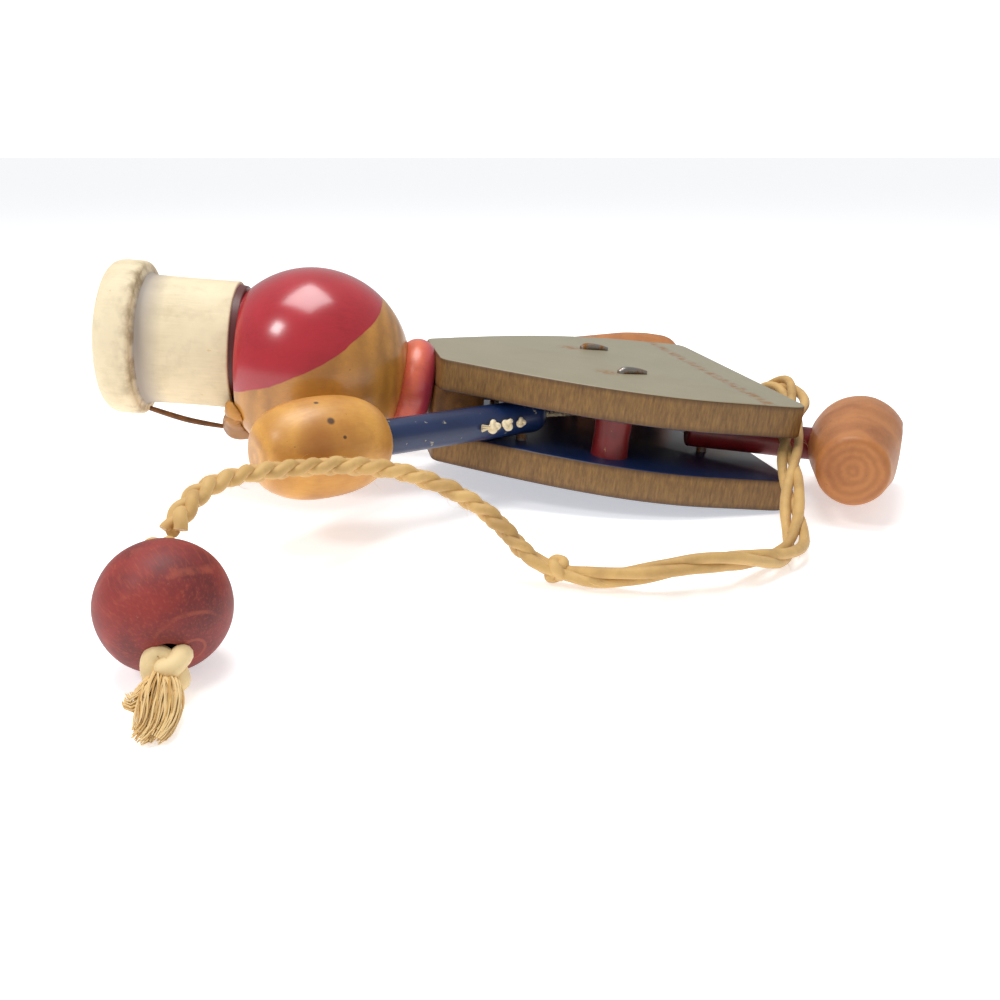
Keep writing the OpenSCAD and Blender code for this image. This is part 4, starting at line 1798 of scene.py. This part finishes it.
@dataclass(frozen=True)
class SplitPeak(TurnedWood):
    """Honey wood, with painted shade darkening the lower lobe; nearly black in the split between the lobes."""

    def colour(self, tree: bpy.types.NodeTree, here: bpy.types.NodeSocket) -> tuple:
        """The wood, darkened lower down by painted shade.

        Args:
            tree: The material's node tree.
            here: The finish's own coordinates, in metres.

        Returns:
            The colour socket and the fibres' socket.
        """
        wood, fibres = super().colour(tree, here)
        # Painted shade: the lower lobe darkens towards the floor.
        level = add(tree, "SeparateXYZ", {0: here}).outputs["Z"]
        lower = add(tree, "MapRange", {0: level, 1: 1.0 * MM, 2: -1.5 * MM, 4: 0.55}).outputs[0]
        return add(tree, "Mix", {0: lower, 6: wood, 7: Hex.NUT}, data_type="RGBA").outputs[2], fibres


@dataclass(frozen=True)
class RingPaint(BrushedPaint):
    """Orange enamel on the ring, with painted shade in crimson on the side that faces the boards."""

    def painted(self, tree: bpy.types.NodeTree, here: bpy.types.NodeSocket) -> tuple:
        """Orange, turning crimson along the neck as painted shade towards the boards.

        Args:
            tree: The material's node tree.
            here: The finish's own coordinates, in metres.

        Returns:
            The colour, the worn patches and the brush marks.
        """
        paint, rubbed, brush = super().painted(tree, here)
        # Painted shade: crimson over the ring's side towards the boards.
        along = add(tree, "SeparateXYZ", {0: here}).outputs["X"]
        waver = add(
            tree, "TexNoise", {"Vector": here, "Scale": 1 / (4 * MM), "Detail": 3.0}
        ).outputs["Fac"]
        shifted = add(
            tree, "Math", {0: waver, 1: 3 * MM, 2: along}, operation="MULTIPLY_ADD"
        ).outputs[0]
        side = add(tree, "MapRange", {0: shifted, 1: 2.0 * MM, 2: -1.2 * MM, 4: 0.85}).outputs[0]
        return add(
            tree, "Mix", {0: side, 6: paint, 7: Hex.ORANGE_DEEP}, data_type="RGBA"
        ).outputs[2], rubbed, brush


# ---------------------------------------------------------------- limbs


@dataclass
class Limb:
    """What both limbs share: the side, and strings tied to their inner ends."""

    side: Side
    dowel_d: float = 6.4
    ply_r: float = 0.32
    ply_off: float = 0.27
    ply_pitch: float = 2.4
    ply_step: float = 0.25

    @property
    def word(self) -> str:
        """The side's name as the CAD nodes use it."""
        return self.side.name.lower()

    def string(self, node: str, body: str) -> None:
        """Lay a two-ply link string where its CAD node runs.

        Args:
            node: The string's CAD node.
            body: The limb's body.
        """
        points = [v.co.copy() for v in frame["nodes"][node].data.vertices]
        hub = FIGURE @ Vector((GATHER_X * MM, 0, 0))
        near = min(points, key=lambda p: (p - hub).length)
        far = max(points, key=lambda p: (p - near).length)
        ends = []
        for end in (near, far):
            group = [p for p in points if (p - end).length < 1.4 * MM]
            ends.append(sum(group, Vector()) / len(group))
        along = (ends[1] - ends[0]).normalized()
        side = along.cross(Vector((0, 0, 1))).normalized()
        up = side.cross(along)
        steps = max(12, round((ends[1] - ends[0]).length / (self.ply_step * MM)))
        bm = bmesh.new()
        for ply in (0.0, math.pi):
            line = []
            for k in range(steps + 1):
                a = ply + TURN * k * self.ply_step / self.ply_pitch
                centre = ends[0].lerp(ends[1], k / steps)
                line.append(centre + (side * math.cos(a) + up * math.sin(a)) * self.ply_off * MM)
            sweep(bm, line, lambda t: self.ply_r * MM, 8, ply / 4)
        white = SpunFibre(
            "cotton_string",
            light=Hex.STRING,
            body=Hex.STRING,
            dark=Hex.STRING_DARK,
            pitch=2.0,
            bump=0.1,
        )
        finished(
            finish_mesh(node + "_laid", bm, [white], Matrix.Scale(1 / MM, 4)),
            body,
            "white_string",
            node,
        )


@dataclass
class Arm(Limb):
    """A navy dowel arm with a barrel hand, and its string knotted beside the pin."""

    reach: float = 41.5
    angle: float = 22.0
    droop: float = 5.5
    tail: float = 4.6
    hand_d: float = 17.4
    hand_len: float = 23.5
    holes: tuple = ()

    def place(self) -> Matrix:
        """The arm's frame, x from the pin to the hand."""
        s = self.side.value
        return FIGURE @ moved(SHOULDER[0], SHOULDER[1] * s, 0.5) @ turned(
            "Z", s * (180 - self.angle)
        ) @ turned("Y", self.droop)

    def build(self) -> None:
        """Dowel, hand, string and knots."""
        body, place = f"{self.word}_arm", self.place()
        r = self.dowel_d / 2
        cap = [
            (r * math.cos(a), -self.tail + r - r * math.sin(a))
            for a in (math.pi / 2 * (1 - k / 10) for k in range(11))
        ]
        end = self.reach - self.hand_len / 2 + 6.8
        profile = [(0.0, cap[0][1])] + cap[1:] + [
            (r, k) for k in (6, 12, 18, 24)
        ] + [(r, end), (0, end)]
        bm = lathe(profile, 64)
        roughen(bm, 0.05, 3.0, 6.0)
        navy = BrushedPaint(
            f"navy_dowel_enamel_{self.word}",
            place,
            Hex.NAVY,
            Hex.NAVY_DEEP,
            Hex.OLIVE,
            0.34,
            0.66,
            0.3,
            Hex.NAVY_DEEP,
            0.3,
        )
        dowel = finish_mesh(f"{self.word}_arm_dowel", bm, [navy], place @ turned("Y", 90))
        finished(dowel, body, "navy_paint", f"{self.word}_arm")
        barrel = [
            (
                self.hand_d / 2 * (0.8 * max(0.0, math.sin(a)) ** 0.75 + 0.2),
                -self.hand_len / 2 * math.cos(a),
            )
            for a in (math.pi * k / 48 for k in range(49))
        ]
        hand_bm = lathe([(0, -self.hand_len / 2)] + barrel + [(0, self.hand_len / 2)], 96)
        roughen(hand_bm, 0.14, 6.0, 8.0)
        there = place @ moved(self.reach, 0, 0)
        wood = PittedWood(f"honey_hand_beech_{self.word}", there, holes=self.holes)
        hand = finish_mesh(f"{self.word}_hand_turned", hand_bm, [wood], there @ turned("Y", 90), 50)
        finished(hand, body, "hand_wood", f"{self.word}_hand")
        self.string(f"{self.word}_arm_string", body)
        self.knot(body, place)

    def knot(self, body: str, place: Matrix) -> None:
        """Two small hitches and a frayed end on the arm's outer side.

        Args:
            body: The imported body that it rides.
            place: The arm's frame.
        """
        s = self.side.value
        white = SpunFibre(
            "cotton_string",
            light=Hex.STRING,
            body=Hex.STRING,
            dark=Hex.STRING_DARK,
            pitch=2.0,
            bump=0.1,
        )
        off = self.dowel_d / 2 + 0.7
        bm = bmesh.new()
        for x, size, turn in ((9.2, 0.6, 20.0), (6.2, 0.55, 75.0), (3.2, 0.45, 130.0)):
            spin = turned("X", -90.0) @ turned("Z", turn)
            centre = Vector((x, -s * off, 0.3))
            turns = []
            for k in range(61):
                t = TURN * 0.98 * k / 60
                loop = Vector(
                    (
                        math.sin(t) + 2 * math.sin(2 * t),
                        math.cos(t) - 2 * math.cos(2 * t),
                        -0.9 * math.sin(3 * t),
                    )
                )
                turns.append(centre + spin.to_3x3() @ (loop * size * 0.52))
            sweep(bm, turns, lambda t, size=size: size * 0.8, 8, 0.4)
        for k in range(9):
            a = TURN * k / 9
            spread = Vector((1.8, s * 0.25 * math.cos(a), 0.5 * math.sin(a)))
            line = [Vector((9.6, -s * off, 0.3)) + spread * t for t in (0, 0.4, 0.8, 1.2)]
            sweep(bm, line, lambda t: 0.13, 5, k / 9)
        finished(
            finish_mesh(f"{self.word}_arm_hitches", bm, [white], place),
            body,
            "white_string",
            f"{self.word}_arm_knot",
        )


@dataclass(frozen=True)
class PittedWood(TurnedWood):
    """Shellacked beech with a few small dark pits and a browner palm."""

    holes: tuple = ()

    def colour(self, tree: bpy.types.NodeTree, here: bpy.types.NodeSocket) -> tuple:
        """The wood, darkened in the pits.

        Args:
            tree: The material's node tree.
            here: The finish's own coordinates, in metres.

        Returns:
            The colour socket and the fibres' socket.
        """
        wood, fibres = super().colour(tree, here)
        for x, y, z, r in self.holes:
            away = add(
                tree, "VectorMath", {0: here, 1: (x * MM, y * MM, z * MM)}, operation="DISTANCE"
            ).outputs["Value"]
            near = add(
                tree, "MapRange", {0: away, 1: r * MM, 2: 0.55 * r * MM, 4: 0.9 if r < 1 else 0.45}
            ).outputs[0]
            wood = add(
                tree,
                "Mix",
                {0: near, 6: wood, 7: Hex.NUT_DARK if r < 1 else Hex.HONEY_DARK},
                data_type="RGBA",
            ).outputs[2]
        return wood, fibres


@dataclass
class Leg(Limb):
    """A red dowel leg in a turned shoe with a sawn sole."""

    angle: float = 12.0
    reach: float = 30.6
    tail: float = 3.6
    lift: float = 1.2
    shoe_turn: float = 110.0
    heel_r: float = 9.3
    heel_back: float = 7.6
    toe_r: float = 6.2
    toe_len: float = 26.0
    sole_at: float = 7.4

    def place(self) -> Matrix:
        """The leg's frame, x from the pin to the shoe."""
        s = self.side.value
        return FIGURE @ moved(HIP[0], HIP[1] * s, 0) @ turned("Z", s * self.angle)

    def build(self) -> None:
        """Dowel, shoe and string."""
        body, place = f"{self.word}_leg", self.place()
        r = self.dowel_d / 2
        end = self.reach - 2
        corners = [(0, -self.tail), (r, -self.tail), (r, 0), (r, 8), (r, 16), (r, end), (0, end)]
        bm = lathe(rounded(corners, {1: 0.8}), 64)
        roughen(bm, 0.05, 3.0, 12.0)
        red = BrushedPaint(
            f"red_dowel_enamel_{self.word}",
            place,
            Hex.RED_PEG,
            Hex.RED_PEG_DEEP,
            Hex.BARE_PALE,
            0.42,
            0.68,
            0.4,
        )
        dowel = finish_mesh(f"{self.word}_leg_dowel", bm, [red], place @ turned("Y", 90))
        finished(dowel, body, "red_paint", f"{self.word}_leg")
        self.shoe(body, place)
        self.string(f"{self.word}_leg_string", body)

    def shoe(self, body: str, place: Matrix) -> None:
        """Turn the shoe, saw its sole flat and break the edges.

        Args:
            body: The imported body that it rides.
            place: The leg's frame.
        """
        s = self.side.value
        h, b, t, n = self.heel_r, self.heel_back, self.toe_r, self.toe_len
        corners = [(0, -b), (h - 0.6, -b), (h, 1.0), (h - 0.25, 6.5), (t, n), (0, n)]
        bm = lathe(rounded(corners, {1: 4.6, 3: 2.0, 4: 1.3}, 8), 112)
        bmesh.ops.rotate(
            bm, cent=(0, 0, 0), matrix=Matrix.Rotation(math.pi / 2, 3, "Y"), verts=bm.verts
        )
        cut = bmesh.ops.bisect_plane(
            bm,
            geom=bm.verts[:] + bm.edges[:] + bm.faces[:],
            plane_co=(0, -s * self.sole_at, 0),
            plane_no=(0, -s, 0),
            clear_outer=True,
        )
        rim = [e for e in cut["geom_cut"] if isinstance(e, bmesh.types.BMEdge)]
        bmesh.ops.holes_fill(bm, edges=rim)
        bmesh.ops.bevel(
            bm,
            geom=[e for e in rim if e.is_valid],
            offset=0.35,
            segments=3,
            profile=0.5,
            affect="EDGES",
            material=-1,
        )
        bmesh.ops.recalc_face_normals(bm, faces=bm.faces)
        roughen(bm, 0.09, 5.0, 14.0)
        there = place @ moved(self.reach, 0, self.lift) @ turned("Z", s * self.shoe_turn)
        wood = TurnedWood(
            f"orange_brown_shoe_beech_{self.word}",
            there,
            Hex.SHOE,
            Hex.SHOE,
            Hex.SHOE_DEEP,
            0.5,
            0.12,
            1.5,
            0.7,
        )
        shoe = finish_mesh(f"{self.word}_shoe_turned", bm, [wood], there, 50)
        finished(shoe, body, "shoe_wood", f"{self.word}_shoe")


def gather(hemp: Finish) -> None:
    """Tie the hidden knot that gathers the link strings.

    Args:
        hemp: The cord's finish.
    """
    low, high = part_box("gather_knot")
    tied = Knot("gather_knot_turns", 4.0, 0.75, hemp).build(
        Matrix.Translation((low + high) / 2) @ turned("Y", 90)
    )
    finished(tied, "torso", "hemp", "gather_knot")


def main() -> None:
    """Build the studio, the cord, and then each sub-assembly."""
    logging.basicConfig(level=logging.INFO, format="%(message)s")
    Studio().build()
    PullCord().build()
    PullEnd().build()
    Body().build()
    Head().build()
    pits = ((0.7, 6.0, 6.3, 0.8), (1.5, 2.0, 8.4, 0.5), (-0.9, 7.8, 3.8, 0.4), (4.0, 7.3, 3.2, 4.5))
    for side, leg_angle, marks in ((Side.LEFT, 12.0, pits), (Side.RIGHT, 76.0, pits[1:3])):
        Arm(side, holes=marks).build()
        Leg(side, angle=leg_angle).build()
    gather(SpunFibre("spun_hemp_yarn"))


if __name__ == "__main__":
    main()
